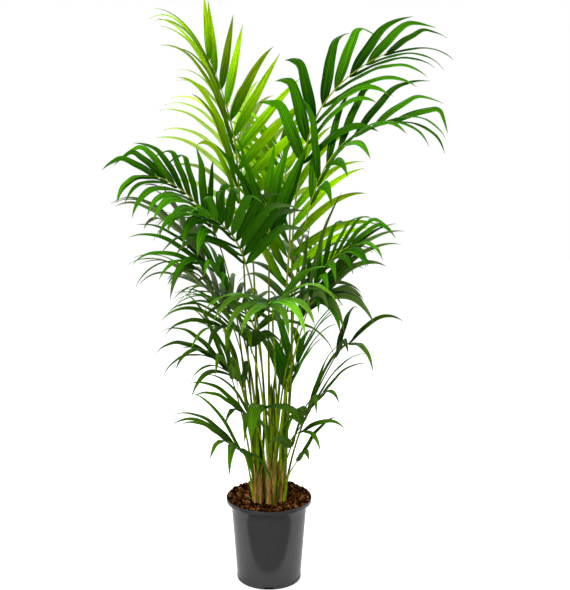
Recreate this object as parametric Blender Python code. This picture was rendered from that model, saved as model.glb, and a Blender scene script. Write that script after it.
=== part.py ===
"""A potted palm: five seedling palms with feather-shaped fronds in one nursery pot.

Everything is in metres with +Z up. The pot stands on Z = 0 with its axis on the Z axis, and -Y is
the front. Every piece is one closed body: the pot, the soil, the five stems, the dry sheaths round
them, and each frond with its stalk and leaflets. A frond's stalk, midrib and leaflets grew as one.
"""

import collections
import math
import random

import bmesh
import bpy
from mathutils import Quaternion, Vector
from mathutils.bvhtree import BVHTree

# Driving dimensions
PLANT_HEIGHT = 1.67  # floor to the top of the tallest frond
FROND_REACH = 1.0  # how far the fronds lean out, against the shape drawn in FRONDS
LEAFLET_LENGTH = 1.0  # leaflet length, against the lengths drawn in FRONDS
POT_HEIGHT = 0.240
POT_RIM_RADIUS = 0.122
POT_BASE_RADIUS = 0.091
POT_WALL = 0.0018
POT_FLOOR = 0.006  # top of the pot's floor above the ground
STEM_DEPTH = 0.055  # how deep a stem is set in the soil
STEM_GIRTH = 1.0  # stem thickness, against the radii drawn in STEMS
LEAF_THICKNESS = 0.0009
STALK_THICKNESS = 1.0  # frond stalk thickness, against the half-widths below
CLEARANCE = 0.0003  # between pieces that touch
LEAF_CLEARANCE = 0.0008  # between one leaflet and whatever it passes
STALK_CLEARANCE = 0.0030  # between the stalks of two fronds

# The pot's shape
POT_SIDES = 56
RIM_LIP = 0.011  # upright band under the rim
RIM_FLARE = 0.005  # height of the curved step below that band
RIM_STEP = 0.014  # how far the lip stands out
FLARE_SHARES = (0.35, 0.65, 0.85)  # heights in the step at which its curve is drawn
FLARE_POWER = 2.2  # how late in its height the step swings out
RIDGE_STAND = 0.0005  # how far the fine ridge round the wall stands out
RIDGE_HEIGHT = 0.002
RIDGE_DROP = 0.032  # how far below the lip it runs
RIM_ROUNDING = 0.0006
RIM_BEVEL = 0.0016
FOOT_BAND = 0.0016  # how far the band round the foot stands out
FOOT_HEIGHT = 0.010
FOOT_BEVEL = 0.0015
FOOT_RING = 0.009  # width of the ring that the pot stands on
EDGE_SLOPE = 0.001
PAD_RADIUS = 0.030  # flat pad in the middle of the underside
PAD_SLOPE = 0.002
PAD_DEPTH = 0.003
CORNER_RISE = 0.004  # rounding inside, where the wall meets the floor
CORNER_INSET = 0.003
DRAIN_NOTCHES = 4
NOTCH_WIDTH = 0.027
NOTCH_HEIGHT = 0.007
NOTCH_LENGTH = 0.005  # how far a notch reaches inside the ring that the pot stands on
DRAIN_HOLES = 6
DRAIN_HOLE_RADIUS = 0.007
DRAIN_HOLE_SIDES = 10
CUTTER_OVERSHOOT = 0.010

# The soil's shape
SOIL_DIP = 0.013  # how much lower the soil is round the stems than at the pot's wall
SOIL_DISH_RIM = 1.15  # the soil is level again this much inside the rim
SOIL_BELOW_RIM = 0.004
SOIL_LUMP = 0.0035
SOIL_SIDES = 40
SOIL_RINGS = 7
SOIL_PLAY = 0.0003  # more room at the wall, because the pot's wall is made of flats
SOIL_EDGE = 0.002  # how far the lumpy top starts inside the wall
SOCKET_SIDES = 16
SOIL_LEVEL = POT_HEIGHT - SOIL_BELOW_RIM - SOIL_DIP

# Stem shape
STEM_SIDES = 12
STEM_NARROWING = 0.62  # how much thinner a stem is at its top, as a share
STEM_NARROWING_POWER = 0.85
STEM_UPRIGHT = 0.004  # how far above the soil's level a stem stays upright
STEM_SHARES = (0.2, 0.4, 0.6, 0.8, 1.0)  # heights at which a stem is drawn

# Stalk shape
STALK_HALF_WIDTHS = (0.0052, 0.0026, 0.0011)  # at the foot, at the first leaflets, at the tip
STALK_DEPTH_SHARE = 0.62  # depth of a stalk against its width
STALK_THINNING = 1.5  # how soon a stalk thins out above its foot
STALK_PIECES = 7
STALK_STEPS = 24  # points along a stalk, and along each half of its midrib
BLADE_STEPS = 16
STALK_LEAN = 0.10  # how much a stalk leaves its stem outwards rather than upwards

# Leaflet shape
BEND_STEPS = 20
BUD_STEP = 2  # how far out a leaflet's room is kept free before it has its final pose
LONG_LEAF = 0.17
LONG_SECTIONS = (3, 9, 15)  # steps at which a leaflet's solid has a ring of corners
SHORT_SECTIONS = (5, 13)
LEAF_ROOT_SHARE = 0.36  # length along the midrib that a leaflet grows from, against its width
LEAF_ROOT_LIMIT = 0.4  # the same against the distance between two pairs
LEAF_TILT = 22  # degrees that leaflets are turned on their own axis, like the slats of a blind
LEAF_FOOT_WIDTH = 0.34  # width at the midrib against the full width
LEAF_SWELL = 2.6  # how soon a leaflet is at its full width
LEAF_POINT = 2.3  # how late it narrows to its point
FIRST_PAIR_SHORTER = 0.12
LAST_PAIR_SHORTER = 0.36
LAST_PAIR_NARROWER = 0.3
LONE_PAIR_WIDER = 1.2
BOW_POWER = 1.2  # how much a leaflet bows near its tip rather than at its root
HOOK_STEPS = (12, 15)  # where a folded-over leaflet folds
ROOM_OVER_POT = 0.012  # between the pot and the leaflets above it
JITTER_SEED = 7

DRAWN_SOIL = 0.23  # soil level and highest midrib tip of the plant drawn in FRONDS
DRAWN_TIP = 1.49
TOP_LEAF_RISE = 0.190  # how far the top leaflets stand above the highest midrib tip
DOWN = Vector((0, 0, -1))
UP = Vector((0, 0, 1))

Stem = collections.namedtuple("Stem", "name x y radius height lean_x lean_y")
STEMS = [
    Stem("stem_front_left", -3.0, -2.0, 1.25, 25, -5, -2),
    Stem("stem_left", -2.2, 1.8, 1.15, 31, -3, 2),
    Stem("stem_front", 0.7, -2.4, 1.40, 33, 0, -3),
    Stem("stem_right", 3.4, -0.6, 1.30, 34, 4, 0),
    Stem("stem_back", 0.8, 3.0, 1.20, 30, 2, 4),
]

Husk = collections.namedtuple("Husk", "name stem height facing span")
HUSKS = [
    Husk("sheath_front", 2, 13.0, -115, 125),
    Husk("sheath_front_left", 0, 9.5, -80, 120),
    Husk("sheath_right", 3, 11.5, -135, 115),
    Husk("sheath_left", 1, 10.0, 165, 130),
    Husk("sheath_back", 4, 8.0, 90, 140),
]
HUSK_THICKNESS = 0.0011
HUSK_FIT = 0.0005  # between a stem and its dry sheath
HUSK_LOOSENESS = 0.9  # a sheath keeps the girth of the stem a little further down
HUSK_BURIED = 0.003  # how far a dry sheath reaches below the soil's level
SOCKET_PLAY = 0.0012  # between a dry sheath and the soil
HUSK_STRIPS = 9
HUSK_RAG = 0.28  # how uneven a sheath's torn top is, against its height

# Fronds, drawn in centimetres and degrees: the stem each grows from, how far up that stem its foot
# sits, three points that its midrib passes (first leaflets, top of the arch, tip), pairs of leaflets,
# leaflet length and width, angle between midrib and leaflet (left and right ones at the first pair,
# both at the last), how far the left and right leaflets are raised, how far they bow down, roll of
# the whole blade, fold near the leaflets' tips, and the shade of green.
Frond = collections.namedtuple(
    "Frond",
    "name stem foot neck arch tip pairs length width fan lift bow roll fold shade",
)
FRONDS = [
    Frond("crown_centre_frond", 2, 26, (0, -4, 97), (0, -4, 103), (-1, -2, 109),
          4, 30, 3.6, (26, 24, 20), (8, 8), (14, 14), 0, (0, 0), "deep"),
    Frond("top_left_frond", 1, 17, (-8, 2, 108), (-10, 6, 128), (-17, 12, 149),
          10, 36, 3.3, (34, 54, 18), (30, 10), (95, 18), 0, (0, 0), "lime"),
    Frond("top_back_frond", 1, 21, (-5, 12, 97), (-8, 18, 117), (-13, 28, 137),
          10, 33, 3.0, (46, 40, 24), (8, 8), (80, 50), 0, (0, 0), "pale"),
    Frond("centre_back_frond", 4, 19, (5, 8, 84), (6, 13, 104), (3, 22, 125),
          11, 33, 3.0, (38, 50, 26), (12, 12), (45, 55), 0, (0, 0), "lime"),
    Frond("high_right_frond", 3, 24, (9, 3, 119), (16, 4, 137), (32, 3, 149),
          8, 32, 4.2, (38, 46, 18), (26, 0), (40, 75), 32, (70, 0), "deep"),
    Frond("right_arching_frond", 3, 20, (11, -5, 108), (19, -8, 124), (32, -12, 130),
          7, 31, 4.0, (38, 50, 18), (36, 0), (55, 85), 20, (60, 0), "deep"),
    Frond("long_left_frond", 0, 18, (-14, -8, 100), (-20, -11, 110), (-29, -15, 116),
          9, 26, 3.7, (56, 48, 20), (0, 30), (105, 50), -30, (0, 70), "deep"),
    Frond("front_left_fan", 2, 22, (-6, -13, 93), (-10, -19, 102), (-15, -26, 106),
          9, 25, 3.1, (58, 58, 26), (42, 10), (50, 100), 0, (40, 0), "deep"),
    Frond("left_grey_frond", 0, 16, (-17, -3, 88), (-20, -2, 96), (-25, 0, 101),
          7, 32, 3.4, (44, 44, 24), (10, 15), (90, 85), 25, (0, 0), "grey"),
    Frond("left_low_arch", 0, 13, (-11, -6, 85), (-15, -9, 91), (-19, -11, 93),
          6, 32, 3.0, (48, 48, 24), (15, 15), (80, 75), -20, (0, 0), "deep"),
    Frond("left_back_arch", 1, 12, (-11, -1, 77), (-15, 1, 83), (-20, 3, 86),
          6, 31, 2.9, (48, 48, 24), (15, 15), (85, 85), 15, (0, 0), "grey"),
    Frond("right_mid_frond", 3, 17, (11, -6, 82), (15, -9, 92), (21, -13, 98),
          8, 25, 3.2, (50, 60, 22), (25, 5), (80, 95), 28, (40, 0), "deep"),
    Frond("right_long_arch", 2, 15, (9, -9, 76), (12, -12, 82), (15, -15, 85),
          6, 37, 3.4, (32, 36, 20), (20, 10), (75, 85), 45, (0, 0), "grey"),
    Frond("front_light_frond", 2, 18, (1, -11, 78), (1, -20, 84), (0, -29, 85),
          7, 25, 3.5, (64, 62, 30), (18, 18), (110, 105), 0, (0, 0), "fresh"),
    Frond("right_thin_frond", 3, 6, (18, -4, 66), (20, -5, 69), (22, -7, 71),
          2, 29, 2.9, (46, 44, 26), (20, 10), (85, 85), 28, (0, 0), "green"),
    Frond("right_low_frond", 4, 8, (7, -5, 48), (9, -8, 53), (11, -10, 56),
          4, 30, 3.2, (50, 46, 24), (20, 12), (85, 88), 26, (0, 0), "green"),
    Frond("right_base_frond", 2, 4, (6, -6, 41), (7, -8, 45), (9, -10, 47),
          2, 22, 3.0, (46, 42, 26), (16, 16), (85, 88), 26, (0, 0), "green"),
    Frond("soil_right_shoot", 3, 3, (6, -8, 35), (7, -9, 37), (8, -10, 39),
          1, 17, 2.6, (32, 30, 28), (14, 14), (85, 85), 26, (0, 0), "green"),
    Frond("left_mid_frond", 0, 10, (-9, -4, 60), (-11, -6, 65), (-14, -7, 67),
          5, 29, 3.1, (48, 46, 24), (18, 16), (90, 88), -22, (0, 0), "green"),
    Frond("front_left_frond", 2, 12, (-5, -8, 70), (-8, -12, 75), (-12, -15, 77),
          6, 28, 3.0, (50, 50, 24), (18, 16), (95, 90), -18, (0, 0), "green"),
    Frond("left_inner_frond", 1, 8, (-6, 2, 55), (-8, 1, 59), (-10, 0, 61),
          3, 28, 3.1, (44, 42, 26), (18, 16), (88, 85), -22, (0, 0), "green"),
    Frond("left_base_frond", 0, 3, (-7, -8, 40), (-9, -11, 43), (-11, -13, 45),
          4, 26, 3.2, (54, 50, 26), (16, 14), (88, 82), -25, (0, 0), "green"),
    Frond("left_base_shoot", 2, 6, (-6, -7, 48), (-8, -9, 51), (-10, -11, 53),
          3, 24, 3.1, (46, 44, 26), (14, 12), (90, 85), -22, (0, 0), "green"),
    Frond("young_front_leaf", 3, 13, (0, -13, 52), (-1, -15, 55), (-1, -17, 56),
          1, 17, 3.9, (38, 18, 30), (8, 4), (140, 200), 0, (0, 0), "green"),
    Frond("centre_upright_frond", 4, 11, (5, 2, 54), (7, 1, 61), (9, -1, 67),
          5, 28, 2.9, (34, 34, 24), (16, 16), (60, 60), 0, (0, 0), "deep"),
    Frond("back_right_frond", 4, 14, (6, 19, 78), (11, 29, 89), (15, 38, 94),
          8, 29, 2.7, (52, 52, 24), (16, 16), (90, 90), 0, (0, 0), "grey"),
    Frond("back_left_frond", 1, 15, (-4, 15, 70), (-9, 24, 77), (-14, 31, 80),
          7, 28, 2.7, (52, 52, 24), (16, 16), (90, 90), 0, (0, 0), "green"),
]

SHADES = {
    "lime": (0.230, 0.400, 0.012),
    "pale": (0.300, 0.470, 0.075),
    "fresh": (0.160, 0.360, 0.020),
    "green": (0.060, 0.200, 0.010),
    "grey": (0.085, 0.170, 0.045),
    "deep": (0.018, 0.100, 0.004),
}


def stretch():
    """This plant's height above the soil, up to its highest midrib tip, against the drawn one."""
    tip = PLANT_HEIGHT - TOP_LEAF_RISE * LEAFLET_LENGTH
    return (tip - SOIL_LEVEL) / (DRAWN_TIP - DRAWN_SOIL)


def scaled(point):
    """A point drawn in centimetres, at this plant's height and reach."""
    x, y, z = point
    rise = (z / 100 - DRAWN_SOIL) * stretch()
    return Vector((x / 100 * FROND_REACH, y / 100 * FROND_REACH, SOIL_LEVEL + rise))


def spin(angle):
    return Vector((math.cos(angle), math.sin(angle), 0))


def blend(t):
    """An easy start and stop between 0 and 1."""
    t = min(max(t, 0), 1)
    return t * t * (3 - 2 * t)


# The pot

def taper_radius(z):
    """Outer radius of the pot's plain tapered wall."""
    top = POT_RIM_RADIUS - RIM_STEP
    share = z / (POT_HEIGHT - RIM_LIP - RIM_FLARE)
    return POT_BASE_RADIUS + (top - POT_BASE_RADIUS) * share


def pot_outer_radius(z):
    """Outer radius of the pot at any height, with its flare and upright lip."""
    lip = POT_HEIGHT - RIM_LIP
    if z >= lip:
        return POT_RIM_RADIUS
    flare = lip - RIM_FLARE
    if z <= flare:
        return taper_radius(z)
    share = (z - flare) / RIM_FLARE
    return taper_radius(flare) + (POT_RIM_RADIUS - taper_radius(flare)) * share ** FLARE_POWER


def pot_inner_radius(z):
    """Inner radius of the pot. Its step sits higher inside, by the wall's thickness."""
    return pot_outer_radius(z - POT_WALL) - POT_WALL


def pot_profile():
    """Half section of the pot from the middle of its underside, out, up and back down inside."""
    lip = POT_HEIGHT - RIM_LIP
    flare = lip - RIM_FLARE
    ridge = lip - RIDGE_DROP
    recess = POT_BASE_RADIUS - FOOT_RING
    points = [
        (0, 0),
        (PAD_RADIUS, 0),
        (PAD_RADIUS + PAD_SLOPE, PAD_DEPTH),
        (recess, PAD_DEPTH),
        (recess + EDGE_SLOPE, 0),
        (POT_BASE_RADIUS, 0),
        (POT_BASE_RADIUS + FOOT_BAND, FOOT_BEVEL),
        (POT_BASE_RADIUS + FOOT_BAND, FOOT_HEIGHT),
        (taper_radius(FOOT_HEIGHT + EDGE_SLOPE), FOOT_HEIGHT + EDGE_SLOPE),
        (taper_radius(ridge - RIDGE_HEIGHT), ridge - RIDGE_HEIGHT),
        (taper_radius(ridge) + RIDGE_STAND, ridge),
        (taper_radius(ridge + RIDGE_HEIGHT), ridge + RIDGE_HEIGHT),
        (taper_radius(flare), flare),
    ]
    for share in FLARE_SHARES:
        z = flare + RIM_FLARE * share
        points.append((pot_outer_radius(z), z))
    points += [
        (POT_RIM_RADIUS, lip),
        (POT_RIM_RADIUS, POT_HEIGHT - RIM_BEVEL),
        (POT_RIM_RADIUS - RIM_ROUNDING, POT_HEIGHT),
        (POT_RIM_RADIUS - POT_WALL, POT_HEIGHT - RIM_ROUNDING),
    ]
    for share in (1,) + FLARE_SHARES[::-1] + (0,):
        z = flare + RIM_FLARE * share + POT_WALL
        points.append((pot_inner_radius(z), z))
    points += [
        (pot_inner_radius(POT_FLOOR + CORNER_RISE), POT_FLOOR + CORNER_RISE),
        (pot_inner_radius(POT_FLOOR) - CORNER_INSET, POT_FLOOR),
        (0, POT_FLOOR),
    ]
    return points


def turned(name, profile, sides):
    """A closed solid turned round the Z axis from a half section that starts and ends on it."""
    mesh = bmesh.new()
    rings = []
    for radius, z in profile:
        if radius == 0:
            rings.append([mesh.verts.new((0, 0, z))])
            continue
        ring = [spin(math.tau * k / sides) * radius + UP * z for k in range(sides)]
        rings.append([mesh.verts.new(point) for point in ring])
    for low, high in zip(rings, rings[1:]):
        for k in range(sides):
            after = (k + 1) % sides
            corners = [low[k % len(low)], low[after % len(low)]]
            corners += [high[after % len(high)], high[k % len(high)]]
            mesh.faces.new(list(dict.fromkeys(corners)))
    return finished(name, mesh)


def finished(name, mesh):
    """The bmesh as an object with its faces outward."""
    bmesh.ops.recalc_face_normals(mesh, faces=mesh.faces)
    data = bpy.data.meshes.new(name)
    mesh.to_mesh(data)
    mesh.free()
    made = bpy.data.objects.new(name, data)
    bpy.context.scene.collection.objects.link(made)
    return made


def shade_smooth(made, angle=40):
    """Smooth shading with edges kept sharp above the angle."""
    limit = math.radians(angle)
    mesh = bmesh.new()
    mesh.from_mesh(made.data)
    for face in mesh.faces:
        face.smooth = True
    for edge in mesh.edges:
        edge.smooth = edge.is_manifold and edge.calc_face_angle() < limit
    mesh.to_mesh(made.data)
    mesh.free()


def cut(made, cutters, name):
    """Takes the cutters, closed meshes in one object, out of the solid."""
    cutters.hide_render = True
    cutters.display_type = "WIRE"
    modifier = made.modifiers.new(name, "BOOLEAN")
    modifier.operation = "DIFFERENCE"
    modifier.solver = "EXACT"
    modifier.object = cutters


def prism(mesh, middle, radius, low, high, sides):
    """Adds an upright prism to the bmesh."""
    ring = [spin(math.tau * k / sides) * radius + middle for k in range(sides)]
    bottom = [mesh.verts.new((p.x, p.y, low)) for p in ring]
    top = [mesh.verts.new((p.x, p.y, high)) for p in ring]
    mesh.faces.new(bottom[::-1])
    mesh.faces.new(top)
    for k in range(sides):
        after = (k + 1) % sides
        mesh.faces.new([bottom[k], bottom[after], top[after], top[k]])


def pot_cutters():
    """Drain holes through the floor and drain notches through the foot."""
    mesh = bmesh.new()
    low, high = -CUTTER_OVERSHOOT, POT_FLOOR + CUTTER_OVERSHOOT
    recess = POT_BASE_RADIUS - FOOT_RING
    ring = (PAD_RADIUS + PAD_SLOPE + recess) / 2
    for k in range(DRAIN_HOLES):
        middle = spin(math.tau * (k + 0.5) / DRAIN_HOLES) * ring
        prism(mesh, middle, DRAIN_HOLE_RADIUS, low, high, DRAIN_HOLE_SIDES)
    inner = recess - NOTCH_LENGTH
    outer = POT_BASE_RADIUS + CUTTER_OVERSHOOT
    for k in range(DRAIN_NOTCHES):
        angle = math.tau * k / DRAIN_NOTCHES - math.pi / 2
        out, side = spin(angle), spin(angle + math.pi / 2) * NOTCH_WIDTH / 2
        flat = [out * inner - side, out * outer - side, out * outer + side, out * inner + side]
        bottom = [mesh.verts.new(p + DOWN * CUTTER_OVERSHOOT) for p in flat]
        top = [mesh.verts.new(p + UP * NOTCH_HEIGHT) for p in flat]
        mesh.faces.new(bottom[::-1])
        mesh.faces.new(top)
        for j in range(4):
            after = (j + 1) % 4
            mesh.faces.new([bottom[j], bottom[after], top[after], top[j]])
    return finished("pot_cutters", mesh)


def make_pot():
    pot = turned("pot", pot_profile(), POT_SIDES)
    shade_smooth(pot)
    cut(pot, pot_cutters(), "drainage")
    finish_with(pot, "pot_grey_plastic", (0.047, 0.048, 0.050), 0.42)
    return pot


# The soil

def soil_surface(x, y):
    """Height of the soil's lumpy top, dished towards the stems."""
    out = math.hypot(x, y) / POT_RIM_RADIUS
    dish = SOIL_DIP * (1 - blend(out * SOIL_DISH_RIM))
    lumps = math.sin(95 * x + 2.1) * math.cos(83 * y - 0.7)
    lumps += 0.6 * math.sin(160 * y + 71 * x) + 0.4 * math.cos(210 * x - 130 * y)
    return POT_HEIGHT - SOIL_BELOW_RIM - dish + SOIL_LUMP * lumps / 2


def soil_radius(z):
    return pot_inner_radius(z - CLEARANCE) - CLEARANCE - SOIL_PLAY


def soil_rings():
    """Rings of points over the soil, from the middle of its underside to the middle of its top."""
    low = POT_FLOOR + CLEARANCE
    flare = POT_HEIGHT - RIM_LIP - RIM_FLARE + POT_WALL + CLEARANCE
    heights = [low, POT_FLOOR + CORNER_RISE + CLEARANCE]
    heights += [flare + RIM_FLARE * share for share in (0,) + FLARE_SHARES + (1,)]
    radii = [soil_radius(z) for z in heights]
    radii[0] -= CORNER_INSET
    rings = [[(0, 0, low)]]
    turns = [math.tau * k / SOIL_SIDES for k in range(SOIL_SIDES)]
    for radius, z in zip(radii, heights):
        rings.append([(radius * math.cos(a), radius * math.sin(a), z) for a in turns])
    for k in range(SOIL_RINGS):
        radius = (radii[-1] - SOIL_EDGE) * (1 - k / SOIL_RINGS)
        ring = []
        for a in turns:
            x, y = radius * math.cos(a), radius * math.sin(a)
            ring.append((x, y, soil_surface(x, y)))
        rings.append(ring)
    rings.append([(0, 0, soil_surface(0, 0))])
    return rings


def make_soil():
    mesh = bmesh.new()
    rings = [[mesh.verts.new(point) for point in ring] for ring in soil_rings()]
    for low, high in zip(rings, rings[1:]):
        for k in range(SOIL_SIDES):
            after = (k + 1) % SOIL_SIDES
            corners = [low[k % len(low)], low[after % len(low)]]
            corners += [high[after % len(high)], high[k % len(high)]]
            mesh.faces.new(list(dict.fromkeys(corners)))
    soil = finished("soil", mesh)
    sockets = bmesh.new()
    for stem in STEMS:
        radius = stem_radius(stem, 0) + HUSK_FIT + HUSK_THICKNESS + SOCKET_PLAY
        floor = SOIL_LEVEL - STEM_DEPTH - CLEARANCE
        prism(sockets, stem_foot(stem), radius, floor, POT_HEIGHT + CUTTER_OVERSHOOT, SOCKET_SIDES)
    cut(soil, finished("stem_sockets", sockets), "sockets")
    finish_with(soil, "bark_soil", (0.060, 0.026, 0.010), 0.95)
    return soil


# The stems and the dry sheaths

def stem_foot(stem):
    """Where a stem stands. Thicker stems stand further apart."""
    return Vector((stem.x / 100, stem.y / 100, 0)) * STEM_GIRTH


def stem_height(stem):
    return stem.height / 100 * stretch()


def stem_radius(stem, height):
    """Radius of a stem at a height above the soil: wrapped leaf bases that thin out upwards."""
    share = min(max(height / stem_height(stem), 0), 1)
    thin = STEM_NARROWING * share ** STEM_NARROWING_POWER
    return stem.radius / 100 * STEM_GIRTH * (1 - thin)


def stem_axis(stem, height):
    """Middle of a stem at a height above the soil. It is upright in the soil and leans above it."""
    lean = Vector((stem.lean_x, stem.lean_y, 0)) * (max(height, 0) / 100)
    return stem_foot(stem) + lean + UP * (SOIL_LEVEL + height)


def ring_round(middle, radius, sides):
    return [middle + spin(math.tau * k / sides) * radius for k in range(sides)]


def make_stem(stem):
    """One stem: an upright foot in the soil and a leaning, tapering shaft above it."""
    mesh = bmesh.new()
    tall = stem_height(stem)
    heights = [-STEM_DEPTH, STEM_UPRIGHT] + [tall * share for share in STEM_SHARES]
    rings = []
    for height in heights:
        points = ring_round(stem_axis(stem, height), stem_radius(stem, height), STEM_SIDES)
        rings.append([mesh.verts.new(point) for point in points])
    for low, high in zip(rings, rings[1:]):
        for k in range(STEM_SIDES):
            after = (k + 1) % STEM_SIDES
            mesh.faces.new([low[k], low[after], high[after], high[k]])
    mesh.faces.new(rings[0][::-1])
    mesh.faces.new(rings[-1])
    made = finished(stem.name, mesh)
    shade_smooth(made)
    finish_with(made, "stem_green", (0.150, 0.230, 0.030), 0.5)
    return made


def husk_edges(husk):
    """Heights of the torn top of a dry sheath, strip by strip."""
    draw = random.Random(JITTER_SEED + husk.stem)
    tall = husk.height / 100
    return [tall * (1 - HUSK_RAG * draw.random()) for _ in range(HUSK_STRIPS + 1)]


def make_husk(husk):
    """A dry sheath: a thin torn shell that still wraps part of its stem."""
    stem = STEMS[husk.stem]
    mesh = bmesh.new()
    tops = husk_edges(husk)
    start, wide = math.radians(husk.facing), math.radians(husk.span)
    columns = []
    for k, top in enumerate(tops):
        angle = start + wide * (k / HUSK_STRIPS - 0.5)
        column = []
        for share in (0, 0.5, 1):
            height = top * share - HUSK_BURIED
            inner = stem_radius(stem, height * HUSK_LOOSENESS) + HUSK_FIT
            for radius in (inner, inner + HUSK_THICKNESS):
                point = stem_axis(stem, height) + spin(angle) * radius
                column.append(mesh.verts.new(point))
        columns.append(column)
    outline = [0, 2, 4, 5, 3, 1]
    for here, there in zip(columns, columns[1:]):
        for j, k in zip(outline, outline[1:] + outline[:1]):
            mesh.faces.new([here[j], here[k], there[k], there[j]])
    for column in (columns[0], columns[-1]):
        mesh.faces.new([column[0], column[2], column[3], column[1]])
        mesh.faces.new([column[2], column[4], column[5], column[3]])
    made = finished(husk.name, mesh)
    finish_with(made, "dry_sheath_brown", (0.330, 0.170, 0.075), 0.9)
    return made


# Frond stalks

def hermite(a, b, leave, arrive, t):
    """A point between a and b on the curve that leaves and arrives along the two directions."""
    size = (b - a).length
    t2, t3 = t * t, t * t * t
    point = a * (2 * t3 - 3 * t2 + 1) + b * (3 * t2 - 2 * t3)
    return point + leave * size * (t3 - 2 * t2 + t) + arrive * size * (t3 - t2)


def facing_between(frond, turn):
    """Compass directions of a frond at its foot and over its blade."""
    neck, tip = scaled(frond.neck), scaled(frond.tip)
    foot = stem_axis(STEMS[frond.stem], 0)
    at_foot = math.atan2(neck.y - foot.y, neck.x - foot.x) + turn
    at_blade = math.atan2(tip.y - neck.y, tip.x - neck.x)
    swing = (at_blade - at_foot + math.pi) % math.tau - math.pi
    return at_foot, swing


def stalk_curve(frond, turn, shift, climb):
    """Closely spaced points of a frond's stalk and midrib, from its foot to its tip."""
    stem = STEMS[frond.stem]
    neck, arch, tip = (scaled(p) + shift for p in (frond.neck, frond.arch, frond.tip))
    rise = frond.foot / 100 * stretch() + climb
    at_foot, _ = facing_between(frond, turn)
    out = spin(at_foot)
    depth = STALK_HALF_WIDTHS[0] * STALK_THICKNESS * STALK_DEPTH_SHARE
    gap = stem_radius(stem, rise) + CLEARANCE + depth
    foot = stem_axis(stem, rise) + out * gap
    lean = Vector((stem.lean_x, stem.lean_y, 100)).normalized()
    leave = (lean + out * STALK_LEAN).normalized()
    first, last = (arch - neck).normalized(), (tip - arch).normalized()
    past_neck = ((neck - foot).normalized() + first).normalized()
    past_arch = (first + last).normalized()
    past_tip = (last * 2 - past_arch).normalized()
    points = [hermite(foot, neck, leave, past_neck, k / STALK_STEPS) for k in range(STALK_STEPS)]
    for a, b, start, end in ((neck, arch, past_neck, past_arch), (arch, tip, past_arch, past_tip)):
        points += [hermite(a, b, start, end, k / BLADE_STEPS) for k in range(BLADE_STEPS)]
    return points + [tip]


class Route:
    """A frond's stalk and midrib, measured along its length, with its blade's own directions."""

    def __init__(self, frond, turn, shift, climb):
        self.frond = frond
        self.leaves = {}
        self.points = stalk_curve(frond, turn, shift, climb)
        self.at = [0.0]
        for a, b in zip(self.points, self.points[1:]):
            self.at.append(self.at[-1] + (b - a).length)
        self.neck, self.end = self.at[STALK_STEPS], self.at[-1]
        self.foot_facing, self.swing = facing_between(frond, turn)
        self.roots = self.leaf_roots()
        self.sites = self.leaf_sites()
        self.buds = [bud_blocker(leaf_on(self, site, NO_CHANGE), root_corners(self, site))
                     for site in self.sites]

    def place(self, along):
        """Point, direction, side and upper directions, a distance along the route."""
        along = min(max(along, 0), self.end)
        k = 1
        while k < len(self.at) - 1 and self.at[k] < along:
            k += 1
        a, b = self.points[k - 1], self.points[k]
        share = (along - self.at[k - 1]) / (self.at[k] - self.at[k - 1])
        before = self.points[max(k - 2, 0)]
        after = self.points[min(k + 1, len(self.points) - 1)]
        ahead = ((b - before).normalized() * (1 - share) + (after - a).normalized() * share)
        ahead.normalize()
        turned_by = blend(along / self.neck)
        facing = spin(self.foot_facing + self.swing * turned_by)
        side = facing.cross(UP)
        side = (side - ahead * side.dot(ahead)).normalized()
        side = Quaternion(ahead, math.radians(self.frond.roll) * turned_by) @ side
        return a.lerp(b, share), ahead, side, side.cross(ahead)

    def half_width(self, along):
        foot, neck, tip = (width * STALK_THICKNESS for width in STALK_HALF_WIDTHS)
        if along < self.neck:
            return neck + (foot - neck) * (1 - along / self.neck) ** STALK_THINNING
        return neck + (tip - neck) * (along - self.neck) / (self.end - self.neck)

    def leaf_roots(self):
        """The stretches of midrib that the pairs of leaflets grow from."""
        frond = self.frond
        length = self.end - self.neck
        root = frond.width / 100 * LEAF_ROOT_SHARE
        if frond.pairs == 1:
            return [(self.end - root, self.end)]
        root = min(root, LEAF_ROOT_LIMIT * length / frond.pairs)
        starts = [self.neck + (length - root) * k / (frond.pairs - 1) for k in range(frond.pairs)]
        return [(start, start + root) for start in starts]

    def leaf_sites(self):
        """Every leaflet of the frond, with its own small differences."""
        draw = random.Random(JITTER_SEED * 100 + FRONDS.index(self.frond))
        sites = []
        for pair in range(self.frond.pairs):
            for hand in (-1, 1):
                jitter = (draw.uniform(-4, 4), draw.uniform(-5, 5), draw.uniform(-0.1, 0.06),
                          draw.uniform(-14, 14), draw.uniform(0.2, 1.2))
                sites.append(Site(pair, hand, jitter))
        return sites

    def rings(self):
        """Distances along the route at which the stalk's mesh has a ring of points."""
        first = self.roots[0][0]
        stalk = [first * k / STALK_PIECES for k in range(STALK_PIECES)]
        return stalk + [end for root in self.roots for end in root]


def stalk_ring(route, along, extra=0.0):
    """Four corners of a stalk, clockwise from the lower left as one looks along it."""
    point, _, side, upper = route.place(along)
    wide = route.half_width(along)
    across, through = side * (wide + extra), upper * (wide * STALK_DEPTH_SHARE + extra)
    return [point - across - through, point + across - through,
            point + across + through, point - across + through]


def tube(points, sides=4):
    """Corner points ring by ring and the quads between them, capped at both ends."""
    faces = [list(range(sides)), list(range(len(points) - 1, len(points) - sides - 1, -1))]
    for start in range(0, len(points) - sides, sides):
        for k in range(sides):
            after = (k + 1) % sides
            faces.append([start + k, start + sides + k, start + sides + after, start + after])
    return faces


def stalk_tree(route, extra):
    points = [corner for along in route.rings() for corner in stalk_ring(route, along, extra)]
    return Blocker(points, tube(points))


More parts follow.
